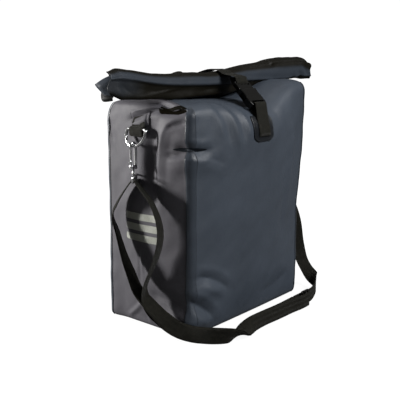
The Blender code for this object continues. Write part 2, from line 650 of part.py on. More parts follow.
def add_side_fittings(side):
    name = "left" if side == LEFT else "right"
    lean = RING_LEAN / (RING_HEIGHT - RING_WIRE)
    loop = [Vector((side * (RING_X + drop * lean), RING_Y + y, RING_Z - drop)) for y, drop in ring_points()]
    wire(f"d_ring_{name}", loop, RING_WIRE / 2, "chrome", closed=True)

    inner = [(side_x(RING_Y, z) + FOLD_GAP + 0.0008, z) for z in (0.3440, 0.3300, 0.3262)]
    around = [(RING_X + 0.0036 * cos(radians(a)), RING_Z + 0.0036 * sin(radians(a)))
              for a in (125, 90, 50, 10, -30, -70, -110, -150)]
    outline = inner + around
    add_loop(f"ring_loop_{name}", side, outline)

    outer_grid, inner_grid = [], []
    for z in (0.3285, 0.3300, 0.3370, 0.3430, 0.3460, 0.3490):
        across = [RING_Y + 0.019 * (2 * k / 6 - 1) for k in range(7)]
        lift = FOLD_GAP * 2 + 0.0027
        inner_grid.append([Vector((side * (side_x(y, z) + lift), y, z)) for y in across])
        outer_grid.append([Vector((side * (side_x(y, z) + lift + 0.0010), y, z)) for y in across])
    sheet(f"ring_patch_{name}", outer_grid, inner_grid, "gusset_fabric")
    add_hook(side, name)
    add_reflectors(side, name)


def add_loop(name, side, line):
    """A loop of webbing whose middle line runs in X and Z, as wide as the ring takes."""
    line = [Vector(p) for p in line]
    sides = ([], [])
    for k, point in enumerate(line):
        along = (line[min(k + 1, len(line) - 1)] - line[max(k - 1, 0)]).normalized()
        normal = Vector((-along.y, along.x)) * 0.0007
        sides[0].append(point + normal)
        sides[1].append(point - normal)
    outline = [(side * p.x, p.y) for p in sides[0] + sides[1][::-1]]
    return prism(name, outline, "Y", RING_Y - 0.0135, RING_Y + 0.0135, "webbing")


def add_hook(side, name):
    """A trigger snap: a hook body with a hinged gate, turning on a swivel eye that the strap is looped through."""
    x0 = side * SWIVEL_X

    def place(across, z):
        return Vector((x0 + side * across, RING_Y, z))

    reach = HOOK_HALF
    body = [place(-reach, HOOK_FOOT + 0.002), place(-reach, HOOK_TOP - reach)]
    body += [place(-reach * cos(radians(a)), HOOK_TOP - reach + reach * sin(radians(a))) for a in (30, 60, 90, 120, 150)]
    body += [place(reach, HOOK_TOP - reach), place(reach, HOOK_TOP - reach - 0.0040)]
    hook = wire(f"snap_hook_{name}", body, HOOK_WIRE / 2, "chrome")
    bpy.context.view_layer.update()
    hook = as_mesh(hook)
    foot = prism(f"tool_foot_{name}", rounded(0.0072, 0.0030, 0.0028, centre=(x0, RING_Y)), "Z", HOOK_FOOT - 0.0035,
                 HOOK_FOOT + 0.0030, "board")
    join(hook, [foot])
    cut(hook, [
        disc(f"tool_bore_{name}", (x0, RING_Y, HOOK_FOOT - 0.01), (0, 0, 1), 0.0021, 0.03, "board"),
        prism(f"tool_seat_{name}", [(x0 + side * a, RING_Y + b) for a, b in block((reach - 0.0024, -0.004),
              (reach + 0.006, 0.004))], "Z", HOOK_FOOT - 0.0008, HOOK_FOOT + 0.02, "board"),
    ])
    gate = [(reach - 0.0016, HOOK_FOOT - 0.0002), (reach + 0.0016, HOOK_FOOT - 0.0002), (reach + 0.0034, HOOK_FOOT + 0.006),
            (reach + 0.0018, HOOK_FOOT + 0.010), (reach + 0.0016, HOOK_TOP - reach - 0.0045),
            (reach - 0.0016, HOOK_TOP - reach - 0.0045)]
    prism(f"hook_gate_{name}", [(x0 + side * a, b) for a, b in gate], "Y", RING_Y - 0.0019, RING_Y + 0.0019, "chrome")

    turn = Matrix.Rotation(radians(EYE_TURN), 3, "Z")
    centre = Vector((x0, RING_Y, EYE_BAR_Z + EYE_HEIGHT / 2))
    loop = [centre + turn @ Vector((a, 0, b)) for a, b in rounded(EYE_HALF + 0.0014, EYE_HEIGHT / 2, 0.003, steps=3)]
    eye = as_mesh(wire(f"swivel_eye_{name}", loop, EYE_WIRE / 2, "chrome", closed=True))
    post = disc(f"tool_post_{name}", (x0, RING_Y, EYE_BAR_Z + EYE_HEIGHT - 0.0006), (0, 0, 1), 0.0017,
                HOOK_FOOT + 0.0042 - EYE_BAR_Z - EYE_HEIGHT + 0.0006, "board")
    head = disc(f"tool_head_{name}", (x0, RING_Y, HOOK_FOOT + 0.0034), (0, 0, 1), 0.0027, 0.0016, "board")
    join(eye, [post, head])


def as_mesh(obj):
    """The same object with its curve turned into a mesh, so that a Boolean can work on it."""
    bpy.context.view_layer.update()
    graph = bpy.context.evaluated_depsgraph_get()
    mesh = bpy.data.meshes.new_from_object(obj.evaluated_get(graph))
    name, finish = obj.name, obj.data.materials[0].name
    curve = obj.data
    bpy.data.objects.remove(obj)
    bpy.data.curves.remove(curve)
    shape = bmesh.new()
    shape.from_mesh(mesh)
    bmesh.ops.remove_doubles(shape, verts=shape.verts, dist=1e-6)
    bmesh.ops.recalc_face_normals(shape, faces=shape.faces)
    shape.to_mesh(mesh)
    shape.free()
    mesh.materials.clear()
    return add_object(name, mesh, finish)


def add_reflectors(side, name):
    half_y, half_z = STRIP_SIZE[0] / 2, STRIP_SIZE[1] / 2
    for number, height in enumerate(STRIP_HEIGHTS, 1):
        outer, inner = [], []
        for k in range(5):
            z = height + half_z * (k / 2 - 1)
            reach = half_y - (0.004 if k in (0, 4) else 0.0)
            across = [0.003 + reach * (2 * i / 8 - 1) for i in range(9)]
            inner.append([Vector((side * (side_x(y, z) + FOLD_GAP), y, z)) for y in across])
            outer.append([Vector((side * (side_x(y, z) + FOLD_GAP + 0.0005), y, z)) for y in across])
        sheet(f"reflector_{name}_{number}", outer, inner, "reflector")


# ---- the shoulder strap --------------------------------------------------------------------------------------------
def add_strap():
    middle = smooth_route([Vector(p) for p, _ in STRAP], 3)
    widths = smooth_route([Vector(w).normalized() for _, w in STRAP], 3)
    rings = []
    for k, point in enumerate(middle):
        along = (middle[min(k + 1, len(middle) - 1)] - middle[max(k - 1, 0)]).normalized()
        across = (widths[k] - along * widths[k].dot(along)).normalized()
        flat = along.cross(across)
        corners = [(-1, -1), (1, -1), (1, 1), (-1, 1)]
        rings.append([point + across * (a * WEBBING / 2) + flat * (b * WEBBING_THICK / 2) for a, b in corners])
    loft("shoulder_strap", rings, "webbing", smooth=False)

    outline = rounded(0.0090, 0.0155, 0.003, centre=(SLIDER_X, 0.0160))
    slider = prism("strap_slider", outline, "Y", SLIDER_Y - 0.0016, SLIDER_Y + 0.0016, "buckle_plastic", bevel=0.0006)
    windows = [block((SLIDER_X + a, 0.0030), (SLIDER_X + a + 0.0048, 0.0290)) for a in (-0.0066, 0.0018)]
    cut(slider, [prism(f"tool_window_{i}", w, "Y", -0.2, -0.1, "board") for i, w in enumerate(windows)])


# ---- rack fittings on the back -------------------------------------------------------------------------------------
RAIL_FACE = BACK_Y + GAP
CHANNEL = 0.0085  # half height of the channel that a hook's foot slides in


def add_rail(name, height, length, tall):
    """A moulded rail with an open channel along its face."""
    low, face = RAIL_FACE, RAIL_FACE + RAIL_DEPTH
    deep = 0.0030
    outline = [(low, -tall / 2), (face, -tall / 2), (face, -tall / 2 + 0.0042), (face - 0.0022, -tall / 2 + 0.0042),
               (face - 0.0022, -tall / 2 + 0.0026), (low + deep, -tall / 2 + 0.0026), (low + deep, tall / 2 - 0.0026),
               (face - 0.0022, tall / 2 - 0.0026), (face - 0.0022, tall / 2 - 0.0042), (face, tall / 2 - 0.0042),
               (face, tall / 2), (low, tall / 2)]
    return prism(name, [(y, height + z) for y, z in outline], "X", -length / 2, length / 2, "rail_plastic")


def add_rack_fittings():
    face = RAIL_FACE + RAIL_DEPTH
    add_rail("upper_rail", RAIL_Z, RAIL_LENGTH, RAIL_HEIGHT)
    add_rail("lower_rail", LOWER_RAIL_Z, LOWER_RAIL_LENGTH, 0.020)
    for number, x in enumerate((-0.112, -0.040, 0.040, 0.112), 1):
        add_screw(f"upper_rail_screw_{number}", x, RAIL_Z)
    for number, x in enumerate((-0.070, 0.070), 1):
        add_screw(f"lower_rail_screw_{number}", x, LOWER_RAIL_Z)
    for side, name in ((LEFT, "left"), (RIGHT, "right")):
        add_rack_hook(side * HOOK_X, name, face)
    add_anchor(face)
    add_handle(face)


def add_screw(name, x, z):
    """A round-headed screw whose head seats in the channel, with a short shank in a bore of the rail."""
    rail = "upper_rail" if z == RAIL_Z else "lower_rail"
    start = RAIL_FACE + 0.0030 + GAP
    head = disc(name, (x, start, z), (0, 1, 0), 0.0032, 0.0020, "steel", sides=16)
    shank = disc(f"tool_shank_{name}", (x, RAIL_FACE + 0.0004, z), (0, 1, 0), 0.0015, 0.0040, "steel", sides=12)
    join(head, [shank])
    bore = disc(f"tool_bore_{name}", (x, RAIL_FACE - 0.002, z), (0, 1, 0), 0.0018, 0.0070, "steel", sides=12)
    cut(bpy.data.objects[rail], [bore])


def add_rack_hook(x, name, face):
    """A hook over the rack's tube, with its foot in the rail's channel, an insert for thin tubes and a lever."""
    tube = RACK_TUBE / 2
    centre_y, centre_z = face + 0.0120 + tube, RAIL_Z + 0.030
    outer = tube + 0.0055
    outline = [(face + 0.0006, RAIL_Z - 0.020), (face + 0.0056, RAIL_Z - 0.020), (face + 0.0062, RAIL_Z + 0.010),
               (centre_y - tube - 0.0022, centre_z - 0.004)]
    outline += [(centre_y + (tube + 0.0022) * cos(radians(a)), centre_z + (tube + 0.0022) * sin(radians(a)))
                for a in range(180, -1, -20)]
    outline += [(centre_y + tube + 0.0022, centre_z - 0.012), (centre_y + tube + 0.0062, centre_z - 0.014)]
    outline += [(centre_y + (outer + 0.0010) * cos(radians(a)), centre_z + (outer + 0.0010) * sin(radians(a)))
                for a in range(0, 121, 20)]
    outline += [(face + 0.0006, RAIL_Z + 0.024)]
    half = HOOK_WIDTH / 2
    hook = prism(f"rack_hook_{name}", outline, "X", x - half, x + half, "rail_plastic", bevel=0.0006)
    low = RAIL_FACE + 0.0030 + 0.0004
    neck = prism(f"tool_neck_{name}", block((low + 0.001, RAIL_Z - 0.0072), (face + 0.002, RAIL_Z + 0.0072)), "X",
                 x - half + 0.001, x + half - 0.001, "board")
    foot = prism(f"tool_hook_foot_{name}", block((low, RAIL_Z - 0.0088), (face - 0.0026, RAIL_Z + 0.0088)),
                 "X", x - half + 0.001, x + half - 0.001, "board")
    join(hook, [neck, foot])
    insert = [(centre_y + (tube + 0.0018) * cos(radians(a)), centre_z + (tube + 0.0018) * sin(radians(a)))
              for a in range(170, 9, -20)]
    insert += [(centre_y + (tube + 0.0002) * cos(radians(a)), centre_z + (tube + 0.0002) * sin(radians(a)))
               for a in range(10, 171, 20)]
    prism(f"hook_insert_{name}", insert, "X", x - half + 0.002, x + half - 0.002, "buckle_plastic")
    pivot = lever_pivot(face)
    tip_y, tip_z = centre_y + 0.0030, centre_z - tube - 0.0022
    lever = [(pivot[0] - 0.0022, pivot[1] - 0.0030), (pivot[0] + 0.0005, pivot[1] - 0.0045),
             (pivot[0] + 0.0100, pivot[1] - 0.0150), (pivot[0] + 0.0125, pivot[1] - 0.0135),
             (pivot[0] + 0.0045, pivot[1] - 0.0010), (tip_y, tip_z - 0.0030), (tip_y + 0.0006, tip_z),
             (pivot[0] + 0.0010, pivot[1] + 0.0030), (pivot[0] - 0.0022, pivot[1] + 0.0016)]
    prism(f"hook_lever_{name}", lever, "X", x - half + 0.004, x + half - 0.004, "buckle_plastic", bevel=0.0004)


def lever_pivot(face):
    return face + 0.0095, RAIL_Z + 0.0060


def add_anchor(face):
    """The lower anchor: a carriage that slides in the lower rail and an arm that turns on it."""
    low = RAIL_FACE + 0.0030 + 0.0004
    plate = disc("anchor_carriage", (0, face + 0.0006, LOWER_RAIL_Z), (0, 1, 0), 0.0120, 0.0030, "rail_plastic")
    join(plate, [
        prism("tool_anchor_neck", block((low + 0.001, LOWER_RAIL_Z - 0.0052), (face + 0.002, LOWER_RAIL_Z + 0.0052)), "X",
              -0.010, 0.010, "board"),
        prism("tool_anchor_foot", block((low, LOWER_RAIL_Z - 0.0068), (face - 0.0026, LOWER_RAIL_Z + 0.0068)),
              "X", -0.010, 0.010, "board"),
        disc("tool_anchor_pin", (0, face + 0.002, LOWER_RAIL_Z), (0, 1, 0), 0.0040, 0.0080, "board"),
    ])
    start = face + 0.0039
    arm = prism("anchor_arm", [(-0.008, -0.006), (-0.006, -0.009), (0.006, -0.009), (0.008, -0.006), (0.009, 0.030),
                               (0.0075, 0.040), (0.0075, 0.048), (-0.0075, 0.048), (-0.0075, 0.040), (-0.009, 0.030)],
                "Y", start, start + 0.0045, "rail_plastic",
                Matrix.Translation((0, 0, LOWER_RAIL_Z)) @ Matrix.Rotation(pi, 4, "Y"))
    tip = prism("tool_anchor_tip", [(start, LOWER_RAIL_Z - 0.048), (start + 0.0165, LOWER_RAIL_Z - 0.048),
                                    (start + 0.0165, LOWER_RAIL_Z - 0.026), (start + 0.0125, LOWER_RAIL_Z - 0.028),
                                    (start + 0.0115, LOWER_RAIL_Z - 0.043), (start, LOWER_RAIL_Z - 0.043)], "X", -0.0074,
                0.0074, "board")
    join(arm, [tip])
    cut(arm, [disc("tool_arm_bore", (0, start - 0.01, LOWER_RAIL_Z), (0, 1, 0), 0.0043, 0.03, "board")])


def add_handle(face):
    """A carry handle of webbing on the upper rail, which stands between the rack hooks and leans over the bag."""
    y = face + 0.0122
    arch = [(-0.036, y, RAIL_Z + 0.0150), (-0.036, y, 0.336), (-0.0355, 0.1040, 0.356), (-0.030, 0.0880, 0.376),
            (-0.016, 0.0680, 0.392), (0.0, 0.0590, 0.3975), (0.016, 0.0680, 0.392), (0.030, 0.0880, 0.376),
            (0.0355, 0.1040, 0.356), (0.036, y, 0.336), (0.036, y, RAIL_Z + 0.0150)]
    points = smooth_route([Vector(p) for p in arch], 2)
    rings = []
    for k, point in enumerate(points):
        along = (points[min(k + 1, len(points) - 1)] - points[max(k - 1, 0)]).normalized()
        lean = 0.7 * min(1.0, max(0.0, (point.z - 0.336) / 0.045))
        across = Vector((0, cos(lean), sin(lean)))
        across = (across - along * across.dot(along)).normalized()
        flat = along.cross(across)
        corners = [(-1, -1), (1, -1), (1, 1), (-1, 1)]
        rings.append([point + across * (a * 0.0110) + flat * (b * 0.0012) for a, b in corners])
    loft("carry_handle", rings, "webbing", smooth=False)


def clear_scene():
    for obj in list(bpy.data.objects):
        bpy.data.objects.remove(obj, do_unlink=True)


def main():
    clear_scene()
    add_shell()
    add_roll()
    add_closure()
    for side in (LEFT, RIGHT):
        add_side_fittings(side)
    add_strap()
    add_rack_fittings()


main()
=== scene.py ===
"""The looks of the pannier bag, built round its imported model: coated fabric, webbing, metal and plastic.

Everything is in metres, in the model's frame: the origin is the middle of the base, +X runs along the bag's
width, +Y points to its back, where the rack fittings are, and +Z is up. Soft shapes are lofted grids whose
folds, creases and waves are formulas; nothing is simulated.
"""

import json
from math import cos, pi, radians, sin, sqrt, tau

import bpy
import numpy as np
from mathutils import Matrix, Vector


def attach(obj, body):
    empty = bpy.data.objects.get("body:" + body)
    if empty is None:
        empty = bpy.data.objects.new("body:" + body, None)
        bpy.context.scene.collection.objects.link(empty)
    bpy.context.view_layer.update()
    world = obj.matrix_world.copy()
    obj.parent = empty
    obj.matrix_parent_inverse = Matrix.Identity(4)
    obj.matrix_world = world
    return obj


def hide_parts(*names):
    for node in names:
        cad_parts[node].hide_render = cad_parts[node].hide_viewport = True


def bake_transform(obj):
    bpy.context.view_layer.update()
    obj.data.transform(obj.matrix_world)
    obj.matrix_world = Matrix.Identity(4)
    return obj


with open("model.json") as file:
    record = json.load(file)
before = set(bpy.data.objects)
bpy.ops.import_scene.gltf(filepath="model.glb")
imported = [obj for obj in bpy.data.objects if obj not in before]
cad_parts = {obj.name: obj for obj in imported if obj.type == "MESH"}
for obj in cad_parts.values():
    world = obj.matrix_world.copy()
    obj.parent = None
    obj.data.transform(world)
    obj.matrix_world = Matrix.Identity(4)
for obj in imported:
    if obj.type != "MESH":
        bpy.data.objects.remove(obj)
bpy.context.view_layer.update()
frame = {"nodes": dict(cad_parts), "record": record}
LEFT, RIGHT = -1, 1
SIDES = ((LEFT, "left"), (RIGHT, "right"))


# ---- numbers ----
def smooth(value, low, high):
    """0 below low, 1 above high, and a smooth step between."""
    t = np.clip((np.asarray(value, float) - low) / (high - low), 0, 1)
    return t * t * (3 - 2 * t)


def within(value, rise, full, fall, none):
    """0 outside rise to none, 1 between full and fall, and smooth steps between."""
    return smooth(value, rise, full) * (1 - smooth(value, fall, none))


def hump(value, middle, reach):
    """1 at the middle, dying away on both sides of it."""
    return np.exp(-(((value - middle) / reach) ** 2))


def along_rows(rows, place):
    """Values at fractional row numbers, on a smooth curve through the rows."""
    rows = np.asarray(rows, float)
    last = len(rows) - 1
    place = np.clip(np.asarray(place, float), 0, last)
    k = np.minimum(place.astype(int), last - 1)
    t = (place - k)[..., None]
    a, b = rows[np.maximum(k - 1, 0)], rows[k]
    c, d = rows[k + 1], rows[np.minimum(k + 2, last)]
    even = (2 * a - 5 * b + 4 * c - d) * t * t + (3 * b - a - 3 * c + d) * t**3
    return (2 * b + (c - a) * t + even) / 2


def through(table, x):
    """Values of a table whose first column is x, on a smooth curve through its rows."""
    table = np.asarray(table, float)
    place = np.interp(x, table[:, 0], np.arange(len(table)))
    return along_rows(table[:, 1:], place)


def unit(vectors):
    return vectors / np.maximum(np.linalg.norm(vectors, axis=-1, keepdims=True), 1e-12)


def run_along(points):
    """The distance from the first point along the line to each of its points."""
    return np.concatenate([[0], np.cumsum(np.linalg.norm(np.diff(points, axis=0), axis=1))])


def even_route(points, step):
    """Points about a step apart on a smooth curve through those given, their fractional rows, the length."""
    points = np.asarray(points, float)
    fine = np.linspace(0, len(points) - 1, 40 * len(points))
    run = run_along(along_rows(points, fine))
    count = max(2, round(run[-1] / step) + 1)
    places = np.interp(np.linspace(0, run[-1], count), run, fine)
    return along_rows(points, places), places, run[-1]


def ripple(u, v, seed, pitch):
    """A soft, repeatable unevenness between about -1 and 1, from a few crossing waves."""
    random = np.random.default_rng(seed)
    total = 0
    for _ in range(7):
        turn, phase = random.uniform(0, tau, 2)
        length = pitch * random.uniform(0.7, 1.9)
        total = total + np.sin((u * cos(turn) + v * sin(turn)) * tau / length + phase)
    return total / 4


# ---- meshes ----
def add_to_scene(name, data):
    made = bpy.data.objects.new(name, data)
    bpy.context.scene.collection.objects.link(made)
    return made


def make_mesh(name, points, faces, material, flat=None, tone=None, angle=50):
    """A smooth-shaded object. flat holds each point's place on the unrolled cloth, and tone its share of the
    light colour: light dye on the roll, and on the welds everything but their painted shadow lines."""
    mesh = bpy.data.meshes.new(name)
    mesh.from_pydata(np.asarray(points).tolist(), [], [tuple(int(i) for i in face) for face in faces])
    mesh.validate()
    mesh.shade_smooth()
    mesh.set_sharp_from_angle(angle=radians(angle))
    if flat is not None:
        values = np.zeros((len(mesh.vertices), 3), np.float32)
        values[:, :2] = flat
        mesh.attributes.new("flat", "FLOAT_VECTOR", "POINT").data.foreach_set("vector", values.ravel())
    if tone is not None:
        mesh.attributes.new("tone", "FLOAT", "POINT").data.foreach_set("value", np.asarray(tone, np.float32))
    mesh.materials.append(material)
    return add_to_scene(name, mesh)


def grid_faces(rows, columns, closed, start=0, turned=False):
    """Quads between the points of a grid, which closes round its columns if asked."""
    faces = []
    for j in range(rows - 1):
        for i in range(columns if closed else columns - 1):
            k = (i + 1) % columns
            face = (j * columns + i, j * columns + k, (j + 1) * columns + k, (j + 1) * columns + i)
            faces.append(tuple(start + p for p in (face[::-1] if turned else face)))
    return faces


def cloth(name, outer, thickness, material, flat=None, tone=None, normals=None):
    """A closed body of cloth under a grid of points, whose outer side faces rows x columns, right-handed."""
    outer = np.asarray(outer, float)
    rows, columns = outer.shape[:2]
    if normals is None:
        normals = unit(np.cross(np.gradient(outer, axis=1), np.gradient(outer, axis=0)))
    points = np.concatenate([outer.reshape(-1, 3), (outer - normals * thickness).reshape(-1, 3)])
    count = rows * columns
    grid = np.arange(count).reshape(rows, columns)
    rim = [*grid[0], *grid[1:, -1], *grid[-1, -2::-1], *grid[-2:0:-1, 0]]
    faces = grid_faces(rows, columns, False) + grid_faces(rows, columns, False, count, turned=True)
    faces += [(b, a, count + a, count + b) for a, b in zip(rim, rim[1:] + rim[:1])]
    if flat is not None:
        flat = np.concatenate([np.reshape(flat, (-1, 2))] * 2)
    if tone is not None:
        tone = np.concatenate([np.ravel(tone)] * 2)
    return make_mesh(name, points, faces, material, flat, tone)


def tube_faces(count, size, start=0, closed=False):
    """Faces between rings of points, with a cap at each end unless the last ring joins the first."""
    faces = grid_faces(count, size, True, start)
    last = start + (count - 1) * size
    if closed:
        return faces + [(last + i, last + (i + 1) % size, (i + 1) % size, i) for i in range(size)]
    return faces + [tuple(range(start, start + size))[::-1], tuple(range(last, last + size))]


def loft(name, rings, material, flat=None, closed=False, angle=50):
    """A closed body through rings of points."""
    rings = np.asarray(rings, float)
    faces = tube_faces(*rings.shape[:2], closed=closed)
    return make_mesh(name, rings.reshape(-1, 3), faces, material, flat, angle=angle)


def frames_along(line, guide, closed=False):
    """Directions along a line, and two across it: one nearest to the guide, and one square to both."""
    if closed:
        along = unit(np.roll(line, -1, axis=0) - np.roll(line, 1, axis=0))
    else:
        along = unit(np.gradient(line, axis=0))
    guide = np.broadcast_to(np.asarray(guide, float), line.shape)
    across = unit(guide - along * np.sum(guide * along, axis=1, keepdims=True))
    return along, across, np.cross(along, across)


def wire(name, line, radius, guide, material, sides=16, closed=False):
    """A round wire through points; radius may change along it."""
    line = np.asarray(line, float)
    _, across, other = frames_along(line, guide, closed)
    turn = np.arange(sides) * tau / sides
    radius = np.broadcast_to(np.asarray(radius, float), (len(line),))[:, None, None]
    rings = line[:, None] + radius * (np.cos(turn)[None, :, None] * across[:, None]
                                      + np.sin(turn)[None, :, None] * other[:, None])
    return loft(name, rings, material, closed=closed)


def webbing_strip(name, line, widths, width, thick, material):
    """Flat webbing along a line. widths says which way its width points."""
    line = np.asarray(line, float)
    _, across, flat_way = frames_along(line, widths)
    # Once round the section: out along one face and back along the other. The faces are a little fuller near
    # the selvedges, and the selvedges themselves are thin.
    spans = np.concatenate([np.linspace(-1, 1, 13), np.linspace(1, -1, 13)])
    face = np.concatenate([np.ones(13), -np.ones(13)])
    near_edge = (np.abs(spans) > 0.8) & (np.abs(spans) < 0.98)
    lift = thick / 2 * face * np.where(np.abs(spans) > 0.999, 0.22, 1 + 0.16 * near_edge)
    places = width / 2 * spans
    rings = line[:, None] + across[:, None] * places[None, :, None] + flat_way[:, None] * lift[None, :, None]
    flat = np.stack([np.repeat(run_along(line), len(spans)), np.tile(places, len(line))], axis=1)
    return loft(name, rings, material, flat=flat)


def lathe(name, profile, centre, axis, material, sides=32):
    """A turned body from (distance along the axis, radius) pairs."""
    turn = Vector(axis).to_track_quat("Z", "Y").to_matrix()
    rings = []
    for along, radius in profile:
        ring = [(radius * cos(tau * k / sides), radius * sin(tau * k / sides), along) for k in range(sides)]
        rings.append([Vector(centre) + turn @ Vector(p) for p in ring])
    return loft(name, rings, material, angle=35)


def joined(name, *pieces):
    """Several closed bodies that move together, as one piece with its parts' materials."""
    for piece in bpy.context.selected_objects:
        piece.select_set(False)
    for piece in pieces:
        piece.select_set(True)
    bpy.context.view_layer.objects.active = pieces[0]
    bpy.ops.object.join()
    pieces[0].name = name
    return pieces[0]


def rounded_outline(half_a, half_b, radius, steps=6):
    """A rectangle with rounded corners, round its middle."""
    points = []
    for cx, cy, first in ((1, 1, 0), (-1, 1, 90), (-1, -1, 180), (1, -1, 270)):
        for k in range(steps + 1):
            a = radians(first + 90 * k / steps)
            across, up = radius * cos(a), radius * sin(a)
            points.append((cx * (half_a - radius) + across, cy * (half_b - radius) + up))
    return points


def put(piece, body, slot, *nodes):
    """Rides a piece on a body and hides the nodes that it stands for. Its slot is not used."""
    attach(piece, body)
    if nodes:
        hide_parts(*nodes)
    return piece


# ---- materials ----
class Nodes:
    """The node tree of a material or a world, built up one node at a time. A value is a number, a colour, a
    vector or another node's output."""

    def __init__(self, owner):
        owner.use_nodes = True
        self.owner = owner
        self.tree = owner.node_tree

    def set(self, node, key, value):
        target = node.inputs[key]
        if isinstance(value, bpy.types.NodeSocket):
            self.tree.links.new(value, target)
        elif isinstance(value, tuple) and target.type == "RGBA":
            target.default_value = (*value, 1)
        else:
            target.default_value = value

    def add(self, kind, output=0, settings=None, **values):
        """One output of a new node. Values go in by the socket's name, or by its number, as in i0."""
        node = self.tree.nodes.new("ShaderNode" + kind)
        for key, value in (settings or {}).items():
            setattr(node, key, value)
        for key, value in values.items():
            numbered = key[0] == "i" and key[1:].isdigit()
            self.set(node, int(key[1:]) if numbered else key.replace("_", " "), value)
        return node.outputs[output]

    def maths(self, operation, a, b=0.0, c=0.5):
        return self.add("Math", settings={"operation": operation}, i0=a, i1=b, i2=c)

    def mix(self, share, a, b):
        return self.add("Mix", output=2, settings={"data_type": "RGBA"}, i0=share, i6=a, i7=b)

    def remap(self, value, low, high, start, end):
        return self.add("MapRange", i0=value, i1=low, i2=high, i3=start, i4=end)

    def place(self, output="Object"):
        return self.add("TexCoord", output=output)

    def part(self, vector, number):
        return self.add("SeparateXYZ", output=number, Vector=vector)

    def attribute(self, name, output):
        return self.add("Attribute", output=output, settings={"attribute_name": name})

    def noise(self, scale, detail=3.0, stretch=None, roughness=0.5):
        where = self.place()
        if stretch:
            where = self.add("Mapping", Vector=where, Scale=stretch)
        return self.add("TexNoise", Vector=where, Scale=scale, Detail=detail, Roughness=roughness)

    def blotches(self, scale, detail, start, end):
        """Soft patches between two levels."""
        return self.remap(self.noise(scale, detail), 0.3, 0.7, start, end)

    def bump(self, height, strength, distance, under=None):
        values = {"Height": height, "Strength": strength, "Distance": distance}
        if under is not None:
            values["Normal"] = under
        return self.add("Bump", **values)


class Finish(Nodes):
    """A material whose node tree feeds one Principled shader."""

    def __init__(self, name, **values):
        super().__init__(bpy.data.materials.new(name))
        self.shader = self.tree.nodes["Principled BSDF"]
        for key, value in values.items():
            self.set(self.shader, key.replace("_", " "), value)

    def done(self, colour, roughness, normal):
        for key, value in (("Base Color", colour), ("Roughness", roughness), ("Normal", normal)):
            if value is not None:
                self.set(self.shader, key, value)
        return self.owner


def shade(colour, share):
    return tuple(min(1.0, c * share) for c in colour)


THREAD_PITCH = 0.0011  # of the coated fabric's base cloth
SCUFF = 1.35  # how much lighter its scuffs are
CORD_PITCH, RIB_PITCH, TWILL_PITCH = 0.0019, 0.0021, 0.0042  # of the webbing


def coated_fabric(name, colour, light=None, roughness=0.46, gloss=0.34):
    """Tarpaulin: a fine plain weave under a satin coat, a little uneven in colour, with faint scuffs. With a
    light colour, the mesh's tone mixes the two."""
    made = Finish(name, Specular_IOR_Level=gloss)
    flat = made.attribute("flat", 1)
    warp, weft = (made.maths("MULTIPLY", made.part(flat, k), tau / THREAD_PITCH) for k in (0, 1))
    weave = made.maths("MULTIPLY", made.maths("SINE", warp), made.maths("SINE", weft))
    if light is None:
        toned = made.mix(made.blotches(9, 4, 0, 1), shade(colour, 0.88), shade(colour, 1.14))
        scuffed = shade(colour, SCUFF)
    else:
        tone = made.attribute("tone", 2)
        toned = made.mix(made.blotches(9, 4, 0, 0.22), made.mix(tone, colour, light), shade(colour, 0.7))
        scuffed = made.mix(tone, shade(colour, 1.7), shade(light, SCUFF))
    scratches = made.noise(60, 6, stretch=(1, 1, 7), roughness=0.7)
    worn = made.mix(made.remap(scratches, 0.66, 0.8, 0, 0.35), toned, scuffed)
    rough = made.blotches(34, 5, roughness - 0.06, roughness + 0.08)
    soft = made.bump(made.noise(75, 3), 0.16, 0.0012)
    grain = made.bump(made.noise(420, 2), 0.12, 0.0003, soft)
    return made.done(worn, rough, made.bump(weave, 0.3, 0.00012, grain))


def woven_webbing(name, colour, light):
    """Webbing: warp cords along its length that the weft binds in small ribs, with fuzz and dusty threads."""
    made = Finish(name, Specular_IOR_Level=0.12, Sheen_Weight=0.05, Sheen_Roughness=0.4)
    flat = made.attribute("flat", 1)
    run, across = made.part(flat, 0), made.part(flat, 1)
    cords = made.maths("ABSOLUTE", made.maths("SINE", made.maths("MULTIPLY", across, pi / CORD_PITCH)))
    slant = made.maths("MULTIPLY", made.maths("PINGPONG", across, TWILL_PITCH), 0.9)
    ribs = made.maths("SINE", made.maths("MULTIPLY", made.maths("ADD", run, slant), tau / RIB_PITCH))
    weave = made.maths("ADD", made.maths("MULTIPLY", cords, 0.6), made.maths("MULTIPLY", ribs, 0.5))
    worn = made.mix(made.remap(made.noise(170, 5), 0.42, 0.72, 0, 0.55), colour, light)
    ribbed = made.mix(made.remap(weave, -0.4, 1.0, 0, 0.75), shade(colour, 0.45), worn)
    fuzz = made.bump(made.noise(900, 3), 0.25, 0.0004)
    return made.done(ribbed, made.blotches(60, 4, 0.62, 0.85), made.bump(weave, 0.75, 0.0006, fuzz))


def moulded_plastic(name, colour, low, high, grain=0.15, scale=700):
    """Moulded plastic with a fine texture, flow marks and rubbed places, between two roughnesses."""
    made = Finish(name, Specular_IOR_Level=0.28)
    toned = made.mix(made.blotches(40, 4, 0, 1), shade(colour, 0.8), shade(colour, 1.35))
    rubbed = made.noise(110, 6, stretch=(1, 4, 1), roughness=0.75)
    worn = made.mix(made.remap(rubbed, 0.62, 0.78, 0, 0.3), toned, shade(colour, 3.0))
    rough = made.remap(rubbed, 0.35, 0.7, low, high)
    return made.done(worn, rough, made.bump(made.noise(scale, 3), grain, 0.0003))


